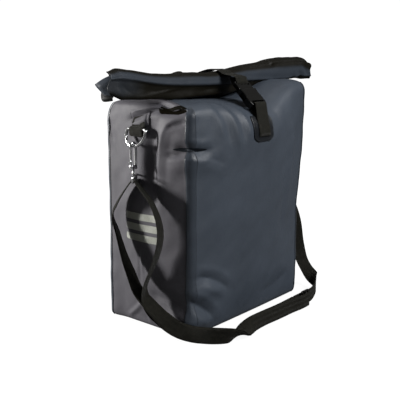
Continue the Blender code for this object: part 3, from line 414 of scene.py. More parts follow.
def bright_metal(name, colour, roughness, brushed=(1, 1, 1)):
    """Plated or bare metal with fine rub marks and a slightly uneven polish."""
    made = Finish(name, Metallic=1.0)
    marks = made.noise(260, 6, stretch=brushed, roughness=0.7)
    tarnish = made.remap(made.noise(50, 4), 0.35, 0.7, 0, 1)
    toned = made.mix(tarnish, colour, shade(colour, 0.8))
    rough = made.remap(marks, 0.3, 0.75, roughness * 0.7, roughness * 1.9)
    return made.done(toned, rough, made.bump(marks, 0.1, 0.0002))


def reflective_film(name, colour):
    """Retroreflective film: a pale skin over small cells, with sealed lines between them."""
    made = Finish(name, Specular_IOR_Level=0.5, Coat_Weight=0.35, Coat_Roughness=0.25)
    flat = made.attribute("flat", 1)
    cells = made.add("TexVoronoi", Vector=flat, Scale=520.0, settings={"feature": "DISTANCE_TO_EDGE"})
    lines = made.remap(cells, 0.0, 0.1, 0, 1)
    toned = made.mix(lines, shade(colour, 0.72), colour)
    dirt = made.mix(made.remap(made.noise(90, 5), 0.55, 0.8, 0, 0.3), toned, shade(colour, 0.6))
    rough = made.maths("MULTIPLY", made.blotches(45, 4, 0.9, 1.1), 0.42)
    return made.done(dirt, rough, made.bump(lines, 0.35, 0.0002))


SLATE = (0.05, 0.061, 0.078)
GUSSET_GREY = (0.08, 0.0775, 0.088)
MOUTH_BLACK = (0.005, 0.004, 0.0016)
WEBBING_BLACK = (0.016, 0.0155, 0.0112)
WEBBING_DUST = (0.04, 0.037, 0.028)

front_fabric = coated_fabric("front_fabric", SLATE)
# Dark where the mesh's tone is low: along the corner welds' edges that is a painted shadow line; the closure
# patch, which carries no tone, takes the dark colour all over.
weld_fabric_and_edge_shade = coated_fabric("weld_fabric_and_edge_shade", shade(SLATE, 0.14), light=shade(SLATE, 0.86), roughness=0.38)
gusset_fabric = coated_fabric("gusset_fabric", GUSSET_GREY, roughness=0.56, gloss=0.18)
mouth_fabric = coated_fabric("mouth_fabric", MOUTH_BLACK, light=shade(SLATE, 0.72), roughness=0.5, gloss=0.13)
# Painted shadow: a near-black skin for the shaded tuck in the left gusset under the roll.
painted_tuck_shadow = coated_fabric("painted_tuck_shadow", shade(MOUTH_BLACK, 0.7), roughness=0.7, gloss=0.03)
# Painted shade: a dark slate skin for the shaded dent across the near corner.
painted_dent_shadow = coated_fabric("painted_dent_shadow", shade(SLATE, 0.26), roughness=0.6, gloss=0.1)
webbing = woven_webbing("webbing", WEBBING_BLACK, WEBBING_DUST)
stitching = moulded_plastic("thread", (0.02, 0.019, 0.016), 0.55, 0.8, 0.3, 2500)
buckle_plastic = moulded_plastic("buckle_plastic", (0.0048, 0.0046, 0.004), 0.1, 0.24, 0.04)
rail_plastic = moulded_plastic("rail_plastic", (0.016, 0.016, 0.017), 0.42, 0.62, 0.3)
chrome = bright_metal("chrome", (0.8, 0.8, 0.81), 0.12)
steel = bright_metal("screw_steel", (0.5, 0.5, 0.51), 0.28, brushed=(1, 12, 1))
film = reflective_film("reflector", (0.3, 0.31, 0.27))
board = moulded_plastic("board", (0.045, 0.045, 0.047), 0.5, 0.7, 0.2)


# ---- camera, floor and light ----
def add_camera():
    """The photograph's view: level enough to see the bag's shoulder from a little above."""
    data = bpy.data.cameras.new("camera")
    data.sensor_width = 36.0
    data.lens = 61.02
    data.clip_start, data.clip_end = 0.05, 50
    camera = add_to_scene("camera", data)
    camera.location = (-0.88927, -0.7319, 0.42028)
    camera.rotation_euler = (radians(90 - 11.499), radians(-0.163), radians(-49.768))
    bpy.context.scene.camera = camera


FLOOR_GLOW = 0.93
BACKDROP, STUDIO = 1.05, 0.16  # brightness of the backdrop, and of the room that lights the bag
AIM = (0, 0, 0.2)  # the lamps point at the middle of the bag


def add_floor():
    """A pale floor under the whole set, bright enough to meet the white backdrop without a line."""
    reach = 9.0
    points = [(x, y, 0.0) for y in (-reach, reach) for x in (-reach, reach)]
    made = Finish("floor", Roughness=0.8, Specular_IOR_Level=0.1, Emission_Color=(1.0, 1.0, 1.0))
    away = made.add("VectorMath", output=1, settings={"operation": "LENGTH"}, i0=made.place())
    glow = made.maths("MULTIPLY", made.add("LightPath"), made.remap(away, 0.3, 1.4, FLOOR_GLOW, BACKDROP))
    made.set(made.shader, "Emission Strength", glow)
    material = made.done((0.14, 0.14, 0.14), made.blotches(3, 2, 0.75, 0.85), None)
    make_mesh("floor", points, [(0, 1, 3, 2)], material)


def add_light(name, place, size, power, colour=(1, 1, 1)):
    data = bpy.data.lights.new(name, "AREA")
    data.shape = "DISK"
    data.size = size
    data.energy = power
    data.color = colour
    lamp = add_to_scene(name, data)
    lamp.location = place
    lamp.rotation_euler = (Vector(AIM) - Vector(place)).to_track_quat("-Z", "Y").to_euler()


def add_studio():
    """A white backdrop for the camera; for the bag, lamps and a dim room, dark below and pale above."""
    world = bpy.data.worlds.new("studio")
    room = Nodes(world)
    height = room.maths("MULTIPLY_ADD", room.part(room.place("Generated"), 2), 0.5, 0.5)
    ramp = room.add("ValToRGB", i0=height)
    scale = ramp.node.color_ramp
    scale.interpolation = "EASE"
    for level, stop in ((0.1, scale.elements[0]), (1.0, scale.elements[1])):
        stop.color = (level, level, level, 1)
    for place, level in ((0.42, 0.05), (0.55, 0.6)):
        scale.elements.new(place).color = (level, level, level, 1)
    dim = room.mix(STUDIO, (0, 0, 0), ramp)
    shown = room.mix(room.add("LightPath"), dim, (BACKDROP, BACKDROP, BACKDROP))
    background = room.tree.nodes["Background"]
    room.set(background, "Color", shown)
    room.set(background, "Strength", 1.0)
    bpy.context.scene.world = world
    bpy.context.scene.view_settings.view_transform = "Standard"
    # The key lamp stands behind the left side and rakes along the gusset; the next fills the front.
    add_light("key", (-1.76, 2.26, 0.72), 0.45, 150, (1.0, 0.985, 0.965))
    add_light("front", (0.4, -2.0, 1.75), 1.2, 62, (0.985, 0.99, 1.0))
    add_light("top", (0.3, 0.1, 2.4), 1.2, 6)


add_camera()
add_floor()
add_studio()


# ---- the shoulder strap ----
WEBBING = 0.025
WEBBING_THICK = 0.0018
STRAP_STEP = 0.003
# Where the strap lies doubled, from the slider on the floor to the place where its two lengths part: the
# middle between them, the way their width points, and half of the gap between them. They turn over together
# beside the near corner.
DOUBLED = [
    ((0.097, -0.1446, 0.015), (0, 0, 1), 0.0046),
    ((0.076, -0.145, 0.015), (0, 0, 1), 0.0046),
    ((0.0503, -0.1425, 0.014), (0, 0.02, 1), 0.0034),
    ((0.0114, -0.1415, 0.0134), (0, 0.05, 1), 0.0022),
    ((-0.0258, -0.1398, 0.0134), (0, 0.05, 1), 0.002),
    ((-0.0565, -0.1402, 0.0132), (0, 0.25, 0.96), 0.002),
    ((-0.076, -0.1418, 0.0115), (0, 0.72, 0.7), 0.0018),
    ((-0.0914, -0.1434, 0.0095), (0, 0.99, 0.05), 0.0017),
    ((-0.106, -0.1452, 0.0115), (0.2, 0.72, -0.66), 0.0018),
    ((-0.121, -0.1415, 0.0132), (0.15, 0.22, -0.96), 0.002),
    ((-0.135, -0.1275, 0.0134), (0, 0, -1), 0.0022),
    ((-0.146, -0.112, 0.0134), (-0.05, 0, -1), 0.0022),
    ((-0.1555, -0.095, 0.0145), (-0.15, -0.05, -0.98), 0.0022),
    ((-0.1665, -0.076, 0.0205), (-0.42, -0.18, -0.87), 0.0022),
    ((-0.1745, -0.0545, 0.0335), (-0.65, -0.28, -0.68), 0.0022),
    ((-0.1805, -0.0345, 0.05), (-0.76, -0.32, -0.54), 0.0024),
]
# From there the loop that hangs from the left hook, with the turn over the hook's eye halfway along it.
LOOP = [
    ((-0.1828, -0.0235, 0.069), (-0.84, -0.36, -0.38)),
    ((-0.1848, -0.031, 0.092), (-0.9, -0.34, -0.22)),
    ((-0.181, -0.043, 0.1204), (-0.93, -0.33, -0.12)),
    ((-0.179, -0.0515, 0.1472), (-0.95, -0.32, 0)),
    ((-0.178, -0.0535, 0.1715), (-0.93, -0.36, 0)),
    ((-0.178, -0.0475, 0.1942), (-0.89, -0.45, 0)),
    ((-0.1775, -0.0335, 0.2155), (-0.83, -0.56, 0)),
    ((-0.1765, -0.0145, 0.231), (-0.77, -0.64, 0)),
    ((-0.1722, 0.0007, 0.24), (-0.77, -0.64, 0)),
    ((-0.1753, 0.0045, 0.2446), (-0.77, -0.64, 0)),
    ((-0.1784, 0.0083, 0.24), (-0.77, -0.64, 0)),
    ((-0.1788, 0.018, 0.229), (-0.77, -0.64, 0)),
    ((-0.1785, 0.0375, 0.205), (-0.7, -0.71, 0)),
    ((-0.1805, 0.0475, 0.183), (-0.7, -0.71, -0.05)),
    ((-0.1805, 0.0365, 0.156), (-0.8, -0.58, -0.1)),
    ((-0.183, 0.0205, 0.124), (-0.84, -0.5, -0.2)),
    ((-0.1855, 0.0025, 0.0965), (-0.88, -0.4, -0.28)),
    ((-0.1868, -0.014, 0.073), (-0.86, -0.36, -0.38)),
]


def beside(run, way):
    """The run of one of two doubled lengths, on one side (+1) or the other (-1) of their middle."""
    middle, widths = (np.array([row[k] for row in run]) for k in (0, 1))
    gap = np.array([row[2] for row in run])[:, None]
    points = middle + way * gap * unit(np.cross(unit(np.gradient(middle, axis=0)), unit(widths)))
    return [(tuple(p), tuple(w)) for p, w in zip(points, widths)]


JOIN = ((0.06, -0.14, 0.015), (0, 0, 1))  # where the two cords meet, behind the slider
LEFT_STRAP = beside(DOUBLED, -1) + LOOP + beside(DOUBLED, 1)[:1:-1] + [JOIN]
# From there along the floor, up behind the bag's right edge and over the right hook's eye.
RIGHT_STRAP = [
    JOIN,
    ((0.095, -0.14, 0.015), (0, 0, 1)),
    ((0.122, -0.1375, 0.0138), (0.02, 0.02, 1)),
    ((0.148, -0.129, 0.0136), (0.06, 0.05, 1)),
    ((0.173, -0.117, 0.0142), (0.16, 0.1, 0.98)),
    ((0.1895, -0.1045, 0.0168), (0.4, 0.14, 0.9)),
    ((0.197, -0.092, 0.0228), (0.66, 0.08, 0.74)),
    ((0.1995, -0.08, 0.033), (0.84, -0.14, 0.5)),
    ((0.1985, -0.069, 0.051), (0.88, -0.42, 0.2)),
    ((0.195, -0.061, 0.083), (0.76, -0.64, 0.05)),
    ((0.191, -0.056, 0.123), (0.76, -0.64, 0)),
    ((0.186, -0.046, 0.162), (0.92, -0.2, 0)),
    ((0.181, -0.03, 0.199), (0.85, 0.45, 0)),
    ((0.1795, -0.01, 0.228), (0.77, 0.64, 0)),
    ((0.1784, 0.0007, 0.24), (0.77, 0.64, 0)),
    ((0.1753, 0.0045, 0.2446), (0.77, 0.64, 0)),
    ((0.1722, 0.0083, 0.24), (0.77, 0.64, 0)),
    ((0.1735, 0.0065, 0.228), (0.77, 0.64, 0)),
    ((0.1745, -0.002, 0.213), (0.77, 0.64, 0)),
]


def add_strap(name, route):
    """One length of the shoulder strap, along its route."""
    points = np.array([p for p, _ in route])
    widths = unit(np.array([w for _, w in route], float))
    line, places, length = even_route(points, STRAP_STEP)
    strap = webbing_strip(name, line, along_rows(widths, places), WEBBING, WEBBING_THICK, webbing)
    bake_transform(strap)
    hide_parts("shoulder_strap")


add_strap("shoulder_strap_left", LEFT_STRAP)
add_strap("shoulder_strap_right", RIGHT_STRAP)


# ---- the shell ----
CORNER_RADIUS = 0.012
CORNER = CORNER_RADIUS * pi / 2  # the length of cloth round a corner
FRONT_RUN, SIDE_RUN = 0.276, 0.156  # the flat lengths between the corners
RUNS = [CORNER, FRONT_RUN, CORNER, SIDE_RUN] * 2
STARTS = np.cumsum([0] + RUNS[:-1])
ROUND = sum(RUNS)
# Places round the shell are measured along the cloth, from the middle of its front left corner.
FRONT_RIGHT = CORNER + FRONT_RUN
BACK_RIGHT = FRONT_RIGHT + CORNER + SIDE_RUN
BACK_LEFT = BACK_RIGHT + CORNER + FRONT_RUN
FRONT, RIGHT_SIDE, BACK, LEFT_SIDE = 1, 3, 5, 7  # numbers of the runs; those between them are the corners
CORNERS = {0: (-1, -1, pi), 2: (1, -1, 1.5 * pi), 4: (1, 1, 0.0), 6: (-1, 1, 0.5 * pi)}
FABRIC = 0.0012

# Outline of the shell up its wall and over its shoulder to the neck: height, half width, front, back, corner
# radius, bulge of the front, bulge of each side. At the corners the shoulder is full.
SHELL = [
    (0, 0.1425, -0.0785, 0.0825, 0.008, 0, 0),
    (0.0012, 0.1462, -0.0825, 0.0862, 0.01, 0.001, 0),
    (0.0045, 0.1492, -0.0862, 0.0892, 0.011, 0.002, 0.001),
    (0.012, 0.1502, -0.089, 0.0905, 0.012, 0.003, 0.003),
    (0.04, 0.15, -0.0905, 0.09, 0.012, 0.006, 0.007),
    (0.075, 0.15, -0.09, 0.09, 0.012, 0.01, 0.01),
    (0.11, 0.1495, -0.09, 0.09, 0.012, 0.012, 0.012),
    (0.145, 0.149, -0.09, 0.09, 0.012, 0.014, 0.013),
    (0.18, 0.1492, -0.09, 0.09, 0.012, 0.017, 0.014),
    (0.215, 0.1495, -0.09, 0.09, 0.012, 0.019, 0.014),
    (0.245, 0.1498, -0.09, 0.09, 0.012, 0.021, 0.012),
    (0.275, 0.15, -0.09, 0.09, 0.012, 0.023, 0.012),
    (0.305, 0.15, -0.09, 0.09, 0.012, 0.024, 0.0115),
    (0.33, 0.15, -0.0895, 0.09, 0.012, 0.02, 0.0105),
    (0.348, 0.15, -0.0885, 0.089, 0.012, 0.013, 0.01),
    (0.358, 0.149, -0.08, 0.08, 0.013, 0.007, 0.008),
    (0.3625, 0.143, -0.06, 0.061, 0.014, 0.003, 0),
    (0.3635, 0.135, -0.033, 0.038, 0.01, 0, 0),
    (0.3665, 0.124, -0.006, 0.018, 0.006, 0, 0),
    (0.374, 0.12, -0.0004, 0.0124, 0.005, 0, 0),
    (0.3945, 0.119, -0.0002, 0.0122, 0.005, 0, 0),
]
TOP_ROW = len(SHELL) - 1
# In the middle the buckle pulls the shoulder in. By row: height, front and back there.
PULLED = {13: (0.33, -0.0885, 0.089), 14: (0.346, -0.08, 0.082), 15: (0.355, -0.064, 0.068),
          16: (0.3605, -0.04, 0.049), 17: (0.363, -0.018, 0.029)}
PULLED_ROWS = np.array([PULLED.get(k, (row[0], row[2], row[3])) for k, row in enumerate(SHELL)])

# How far the front right corner leans outwards at each height, how far the right shoulder stands up with it,
# and how far the back's corners spread.
RIGHT_LEAN = [(0, 0), (0.165, 0), (0.21, 0.005), (0.26, 0.0095), (0.31, 0.012), (0.35, 0.014), (0.43, 0.008)]
RIGHT_LIFT = 0.028
BACK_FLARE = 0.0045


def base_surface(q, h):
    """Points of the plain shell at places q round it and fractional rows h up it, as arrays of one shape."""
    q = np.mod(np.asarray(q, float) + CORNER / 2, ROUND)
    h = np.asarray(h, float)
    z, half, front, back, radius, front_bulge, side_bulge = np.moveaxis(along_rows(SHELL, h), -1, 0)
    z_pulled, front_pulled, back_pulled = np.moveaxis(along_rows(PULLED_ROWS, h), -1, 0)
    part = np.clip(np.searchsorted(STARTS, q, side="right") - 1, 0, len(RUNS) - 1)
    on_front, on_back = part == FRONT, part == BACK
    on_side = (part == RIGHT_SIDE) | (part == LEFT_SIDE)
    t = np.clip((q - STARTS[part]) / np.array(RUNS)[part], 0, 1)
    u = 2 * t - 1
    # The front and back are placed by how near the middle of the bag's width they are.
    wide = np.where(on_front, u, np.where(on_back, -u, 1.0)) * (half - radius)
    middle = 1 - smooth(np.abs(np.where(on_front | on_back, wide, half)), 0.03, 0.115)
    z = z + (z_pulled - z) * middle
    front = front + (front_pulled - front) * middle
    back = back + (back_pulled - back) * middle
    x, y = wide, np.where(on_front, front - front_bulge * (1 - u * u), back)
    for corner, (sx, sy, first) in CORNERS.items():
        angle = first + t * pi / 2
        cy = front + radius if sy < 0 else back - radius
        x = np.where(part == corner, sx * (half - radius) + radius * np.cos(angle), x)
        y = np.where(part == corner, cy + radius * np.sin(angle), y)
    side = np.where(part == RIGHT_SIDE, 1, -1)
    x = np.where(on_side, side * (half + side_bulge * (1 - u * u)), x)
    y = np.where(on_side, (front + back) / 2 + ((back - front) / 2 - radius) * side * u, y)
    # The front right corner leans out, the right shoulder is full, and the stiff back spreads its corners.
    near_right = smooth(x, 0.03, 0.15) * (1 - smooth(y, -0.065, -0.018))
    lean = through(RIGHT_LEAN, z)[..., 0] * near_right * (1 - smooth(h, TOP_ROW - 4, TOP_ROW - 2))
    neck = smooth(h, TOP_ROW - 3, TOP_ROW - 1)
    over = smooth(z, 0.29, 0.35) * smooth(x, 0.02, 0.12)
    lift = RIGHT_LIFT * over * (1 - 0.6 * smooth(y, -0.02, 0.05)) * (1 - 0.7 * neck)
    back_corner = smooth(np.abs(x), 0.13, 0.15) * smooth(y, 0.05, 0.085) * (1 - smooth(z, 0.33, 0.355))
    return np.stack([x + lean + np.sign(x) * BACK_FLARE * back_corner, y, z + lift], axis=-1)


GUSSET_MIDDLE = 0.078  # from the middle of the bag's depth to where the front left corner begins
FRONT_MIDDLE = CORNER / 2 + FRONT_RUN / 2


def gusset_place(y):
    """Where a place in Y on the left gusset lies round the shell."""
    return -CORNER / 2 - (y + GUSSET_MIDDLE)


def on_gusset(*places):
    return [(gusset_place(y), z) for y, z in places]


def on_front(*places):
    return [(FRONT_MIDDLE + x, z) for x, z in places]


# Creases: the points of each, its depth (a ridge is below 0) and its half width.
GUSSET_CREASES = [
    (on_gusset((0.034, 0.33), (0.017, 0.336), (0.003, 0.34), (-0.017, 0.347), (-0.04, 0.354)),
     0.0034, 0.0032),
    (on_gusset((0.022, 0.345), (-0.01, 0.352), (-0.035, 0.357)), -0.0022, 0.0045),
    (on_gusset((-0.03, 0.225), (-0.032, 0.267), (-0.036, 0.297), (-0.04, 0.315), (-0.048, 0.329),
     (-0.062, 0.338), (-0.084, 0.346)), -0.0034, 0.006),
    (on_gusset((-0.048, 0.326), (-0.062, 0.329), (-0.08, 0.334)), 0.0024, 0.0028),
    (on_gusset((-0.046, 0.283), (-0.06, 0.285), (-0.08, 0.286)), 0.003, 0.003),
    (on_gusset((0.079, 0.334), (0.076, 0.315), (0.067, 0.294)), 0.0022, 0.003),
    (on_gusset((0.007, 0.14), (0.008, 0.1), (0.009, 0.066)), 0.0013, 0.0026),
    (on_gusset((-0.002, 0.132), (-0.001, 0.086)), 0.0009, 0.0022),
    (on_gusset((0.048, 0.004), (0.024, 0.025), (0.005, 0.043)), -0.0026, 0.003),
    (on_gusset((-0.012, 0.002), (-0.003, 0.022), (0.005, 0.043)), -0.0024, 0.0028),
    (on_gusset((-0.005, 0.064), (-0.048, 0.055), (-0.08, 0.047)), 0.004, 0.0085),
]
OTHER_CREASES = [
    (on_gusset((-0.056, 0.294), (-0.072, 0.295)) + [(0, 0.2935)] + on_front((-0.13, 0.29), (-0.108, 0.294)),
     0.0066, 0.005),
    (on_front((-0.118, 0.366), (-0.1, 0.345), (-0.088, 0.3)), -0.002, 0.0065),
    (on_front((-0.104, 0.362), (-0.084, 0.338), (-0.074, 0.29)), 0.0018, 0.0055),
    (on_front((-0.092, 0.366), (-0.07, 0.34), (-0.056, 0.285)), -0.0019, 0.006),
    (on_front((-0.074, 0.362), (-0.054, 0.338), (-0.044, 0.29)), 0.002, 0.005),
    (on_front((-0.058, 0.362), (-0.04, 0.34), (-0.03, 0.3)), -0.0016, 0.0045),
    (on_front((0.04, 0.352), (0.052, 0.325), (0.056, 0.27)), 0.0014, 0.006),
    (on_front((0.066, 0.338), (0.072, 0.31), (0.078, 0.26), (0.08, 0.19), (0.078, 0.11)), 0.0026, 0.007),
    (on_front((0.086, 0.335), (0.092, 0.3), (0.095, 0.25), (0.095, 0.17)), -0.0016, 0.006),
    (on_front((0.106, 0.33), (0.11, 0.28), (0.11, 0.205)), 0.0018, 0.0065),
    (on_front((-0.124, 0.281), (-0.106, 0.277), (-0.084, 0.268)), 0.0018, 0.0055),
    (on_front((-0.146, 0.095), (-0.128, 0.096), (-0.108, 0.09), (-0.084, 0.077), (-0.062, 0.062)),
     0.0052, 0.0055),
    (on_gusset((-0.074, 0.056)) + [(0, 0.06)] + on_front((-0.13, 0.05), (-0.112, 0.036), (-0.094, 0.018)),
     0.0062, 0.006),
    (on_front((0.118, 0.06), (0.1, 0.045), (0.06, 0.036), (0.01, 0.034)), 0.0024, 0.011),
]
# Soft swellings and hollows: middle, reach round the shell and up it, and height (a hollow is below 0).
SWELLS = [
    (*on_gusset((-0.056, 0.3555)), 0.03, 0.009, -0.015),
    (*on_gusset((-0.019, 0.262)), 0.0115, 0.055, -0.01),
    (*on_gusset((-0.066, 0.27)), 0.026, 0.013, 0.0034),
    (*on_gusset((-0.066, 0.315)), 0.022, 0.01, 0.0022),
    (*on_gusset((0.002, 0.012)), 0.03, 0.014, -0.0016),
    (*on_gusset((-0.07, 0.03)), 0.026, 0.013, 0.005),
    (*on_front((-0.118, 0.272)), 0.03, 0.013, 0.0026),
    (*on_front((-0.112, 0.072)), 0.04, 0.013, 0.0042),
    (*on_front((-0.124, 0.024)), 0.034, 0.011, 0.0046),
    (*on_front((-0.06, 0.17)), 0.07, 0.07, -0.0022),
    (*on_front((0.03, 0.12)), 0.08, 0.07, 0.0018),
    (*on_front((-0.1, 0.2)), 0.03, 0.06, 0.0016),
    (*on_front((0.12, 0.3)), 0.03, 0.05, 0.0022),
]


def crease_depth(q, z, points, depth, width):
    """How far a crease moves the cloth at each place: sharp at its line, and dying away towards its ends."""
    points = np.asarray(points, float)
    run = run_along(points)
    nearest, where = np.full(q.shape, 1e9), np.zeros(q.shape)
    for k in range(len(points) - 1):
        a, step = points[k], points[k + 1] - points[k]
        t = np.clip(((q - a[0]) * step[0] + (z - a[1]) * step[1]) / (step @ step), 0, 1)
        away = np.hypot(q - a[0] - t * step[0], z - a[1] - t * step[1])
        closer = away < nearest
        nearest = np.where(closer, away, nearest)
        where = np.where(closer, (run[k] + t * (run[k + 1] - run[k])) / run[-1], where)
    ends = 0.85 * within(where, 0.0, 0.28, 0.72, 1.0) + 0.15
    d = nearest / width
    # The cloth beside a crease rises a little the other way.
    return -depth * ends * (np.exp(-np.sqrt(d * d + 0.04) * 1.1) * 1.15 - 0.22 * hump(d, 2.6, 1))


def relief(q, z):
    """How far the slack in the cloth moves each place of the shell outwards."""
    around = np.mod(q, ROUND)
    q = np.mod(q + ROUND / 2, ROUND) - ROUND / 2
    moved = sum(crease_depth(q, z, *crease) for crease in GUSSET_CREASES + OTHER_CREASES)
    for (cq, cz), reach_q, reach_z, height in SWELLS:
        moved += height * hump(q, cq, reach_q) * hump(z, cz, reach_z)
    # The right gusset and the right of the front hold the same kind of creases, a little lower and softer.
    mirrored = np.mod(FRONT_RIGHT - q + ROUND / 2, ROUND) - ROUND / 2
    for points, depth, width in GUSSET_CREASES:
        moved += 0.8 * crease_depth(mirrored, z, np.array(points) - (0, 0.004), depth, width)
    # Two long soft folds down the back, either side of its stiff middle.
    for place, lean in ((BACK_RIGHT + 0.03, 0.03), (BACK_LEFT - 0.034, -0.04)):
        moved -= 0.0016 * hump(around, place + lean * (z - 0.2), 0.006) * smooth(z, 0.05, 0.12)
    waves = 0.0007 * ripple(q, z, 4, 0.085) + 0.0004 * ripple(q, z, 9, 0.034)
    on_board = within(around, BACK_RIGHT, BACK_RIGHT + 0.02, BACK_LEFT - 0.02, BACK_LEFT)
    steady = 1 - 0.85 * on_board * within(z, 0.08, 0.1, 0.3, 0.32)
    return (moved + waves * steady) * smooth(z, 0.001, 0.016)


def shell_surface(q, h, lift=0.0):
    """Points of the creased shell, and its outward directions."""
    q, h = np.broadcast_arrays(np.asarray(q, float), np.asarray(h, float))
    point = base_surface(q, h)
    step_q, step_h = 0.0012, 0.02
    low, high = np.clip(h - step_h, 0, TOP_ROW), np.clip(h + step_h, 0, TOP_ROW)
    over_q = base_surface(q + step_q, h) - base_surface(q - step_q, h)
    normal = unit(np.cross(over_q, base_surface(q, high) - base_surface(q, low)))
    fade = 1 - smooth(h, TOP_ROW - 4.2, TOP_ROW - 3)
    return point + normal * (relief(q, point[..., 2]) * fade + lift)[..., None], normal


SKIN_STEP = 0.0026  # between the points of the skins


def rows_between(first, last):
    """Row numbers up the wall, closer together over the shoulder, where the outline's rows are close."""
    run = run_along(np.array([(row[0], row[2]) for row in SHELL]))
    numbers = np.arange(len(run))
    start, end = np.interp((first, last), numbers, run)
    count = max(3, round((end - start) / SKIN_STEP))
    return np.interp(np.linspace(start, end, count), run, numbers)


FOOT_ROW = 0.6  # where the walls start, over the base
WALL_GAP = 0.0004


def wall(name, start, end, material, slot, node):
    """One panel of the shell between two places round it, from its foot to the top of the neck."""
    start, end = start + WALL_GAP, end - WALL_GAP
    columns = round((end - start) / SKIN_STEP)
    q, h = np.meshgrid(np.linspace(start, end, columns), rows_between(FOOT_ROW, TOP_ROW))
    points, _ = shell_surface(q, h)
    flat = np.stack([q, points[..., 2]], axis=-1)
    put(cloth(name, points, FABRIC, material, flat), "bag", slot, node)


def add_shell():
    wall("front_skin", 0, FRONT_RIGHT, front_fabric, "front_fabric", "front_panel")
    wall("gusset_skin_right", FRONT_RIGHT, BACK_RIGHT, gusset_fabric, "gusset_fabric", "gusset_right")
    wall("back_skin", BACK_RIGHT, BACK_LEFT, front_fabric, "front_fabric", "back_panel")
    wall("gusset_skin_left", BACK_LEFT, ROUND, gusset_fabric, "gusset_fabric", "gusset_left")
    add_base()
    add_welds()


BASE_UNDERSIDE = 0.0004  # above the floor
BASE_INSET = 0.0016  # the base's edge is welded inside the walls


def add_base():
    """The flat base, which turns up into a rounded foot and is welded inside the walls."""
    q = np.linspace(0, ROUND, 300, endpoint=False)
    foot, _ = shell_surface(q, np.zeros_like(q))
    rings = [foot * (share, share, 1) for share in (0.25, 0.5, 0.75, 0.9, 1.0)]
    rings += [shell_surface(q, np.full_like(q, h), -BASE_INSET)[0] for h in (0.5, 1.0, 1.5)]
    points = np.concatenate([[(0, 0, BASE_UNDERSIDE)], *rings])
    points[:, 2] = np.maximum(points[:, 2], BASE_UNDERSIDE)
    inner = points + (0, 0, FABRIC)
    size, count = len(q), len(points)
    edge = count - size
    faces = [(0, 1 + (i + 1) % size, 1 + i) for i in range(size)]
    faces += [face[::-1] for face in grid_faces(len(rings), size, True, start=1, turned=True)]
    faces += [tuple(count + p for p in face[::-1]) for face in faces]
    for i in range(size):
        k = (i + 1) % size
        faces.append((edge + i, edge + k, count + edge + k, count + edge + i))
    flat = np.concatenate([points[:, :2], inner[:, :2]])
    base = make_mesh("base_skin", np.concatenate([points, inner]), faces, front_fabric, flat)
    put(base, "bag", "front_fabric", "base_panel")


WELD_WIDTH = 0.017
WELDS = {"front_left": 0.0, "front_right": FRONT_RIGHT, "back_right": BACK_RIGHT, "back_left": BACK_LEFT}


def add_welds():
    """A welded strip covers each upright corner seam, with a pressed bead and a painted shadow line along its
    edges.
    """
    near_edge = np.array([0.0066, 0.007, 0.0074, 0.0078, 0.0082, WELD_WIDTH / 2])
    across = np.concatenate([-near_edge[::-1], np.linspace(-0.006, 0.006, 11), near_edge])
    edge = WELD_WIDTH / 2 - np.abs(across)
    lift = 0.0006 + 0.0002 * hump(edge, 0.0019, 0.0006) - 0.0004 * (edge < 0.0002)
    for name, middle in WELDS.items():
        q, h = np.meshgrid(middle + across, rows_between(1.6, 14.9))
        points, normals = shell_surface(q, h, lift=np.broadcast_to(lift, q.shape))
        flat = np.stack([q, points[..., 2]], axis=-1)
        # Low tone at the strip's edges paints a shadow line there.
        tone = np.broadcast_to(smooth(edge, 0.0007, 0.0013), q.shape)
        weld = cloth(f"weld_{name}", points, 0.0008, weld_fabric_and_edge_shade, flat, tone, normals)
        put(weld, "bag", "front_fabric", f"seam_tape_{name}")


add_shell()


def row_at(q, z):
    """Fractional rows at which the plain shell reaches heights z, at places q."""
    q, z = np.broadcast_arrays(np.asarray(q, float), np.asarray(z, float))
    rows = np.linspace(0, TOP_ROW - 1, 500)
    heights = base_surface(q.reshape(-1, 1), rows[None, :])[..., 2]
    found = [np.interp(target, line, rows) for target, line in zip(z.ravel(), heights)]
    return np.reshape(found, q.shape)


def on_shell(q, z, lift):
    return shell_surface(q, row_at(q, z), lift)


def shell_patch(name, outline, lift, thickness, material, columns, rows, side=LEFT, beads=0.0, dome=0.0):
    """A flat piece welded or sewn to the shell. outline(v) gives, from its foot (0) to its top (1), the
    height, the place of its middle and its half width. beads raises a pressed line just inside its edges, and
    dome lifts the middle of its lower part over what it covers."""
    u = np.sin(np.linspace(-1, 1, columns) * pi / 2)
    v = (1 - np.cos(np.linspace(0, 1, rows) * pi)) / 2
    z, middle, half = (np.array([outline(t)[k] for t in v])[:, None] for k in range(3))
    q = middle + half * u[None, :]
    z = np.broadcast_to(z, q.shape)
    inside = np.minimum((1 - np.abs(u))[None, :] * half, np.minimum(v, 1 - v)[:, None] * (z.max() - z.min()))
    covered = (1 - smooth(np.abs(u), 0.66, 0.86))[None, :] * (1 - smooth(v, 0.55, 0.92))[:, None]
    raised = lift + beads * hump(inside, 0.0016, 0.0007) + dome * covered
    points, normals = on_shell(q if side == LEFT else FRONT_RIGHT - q[:, ::-1], z, raised)
    return cloth(name, points, thickness, material, np.stack([q, z], axis=-1), normals=normals)


PATCH_LIFT = 0.0016


def rounded_end(v, share, reach):
    """How much of a patch's width is left at v, where its foot and top are rounded within a reach."""
    return 1 - share * max(0.0, 1 - min(v, 1 - v) / reach) ** 2.2


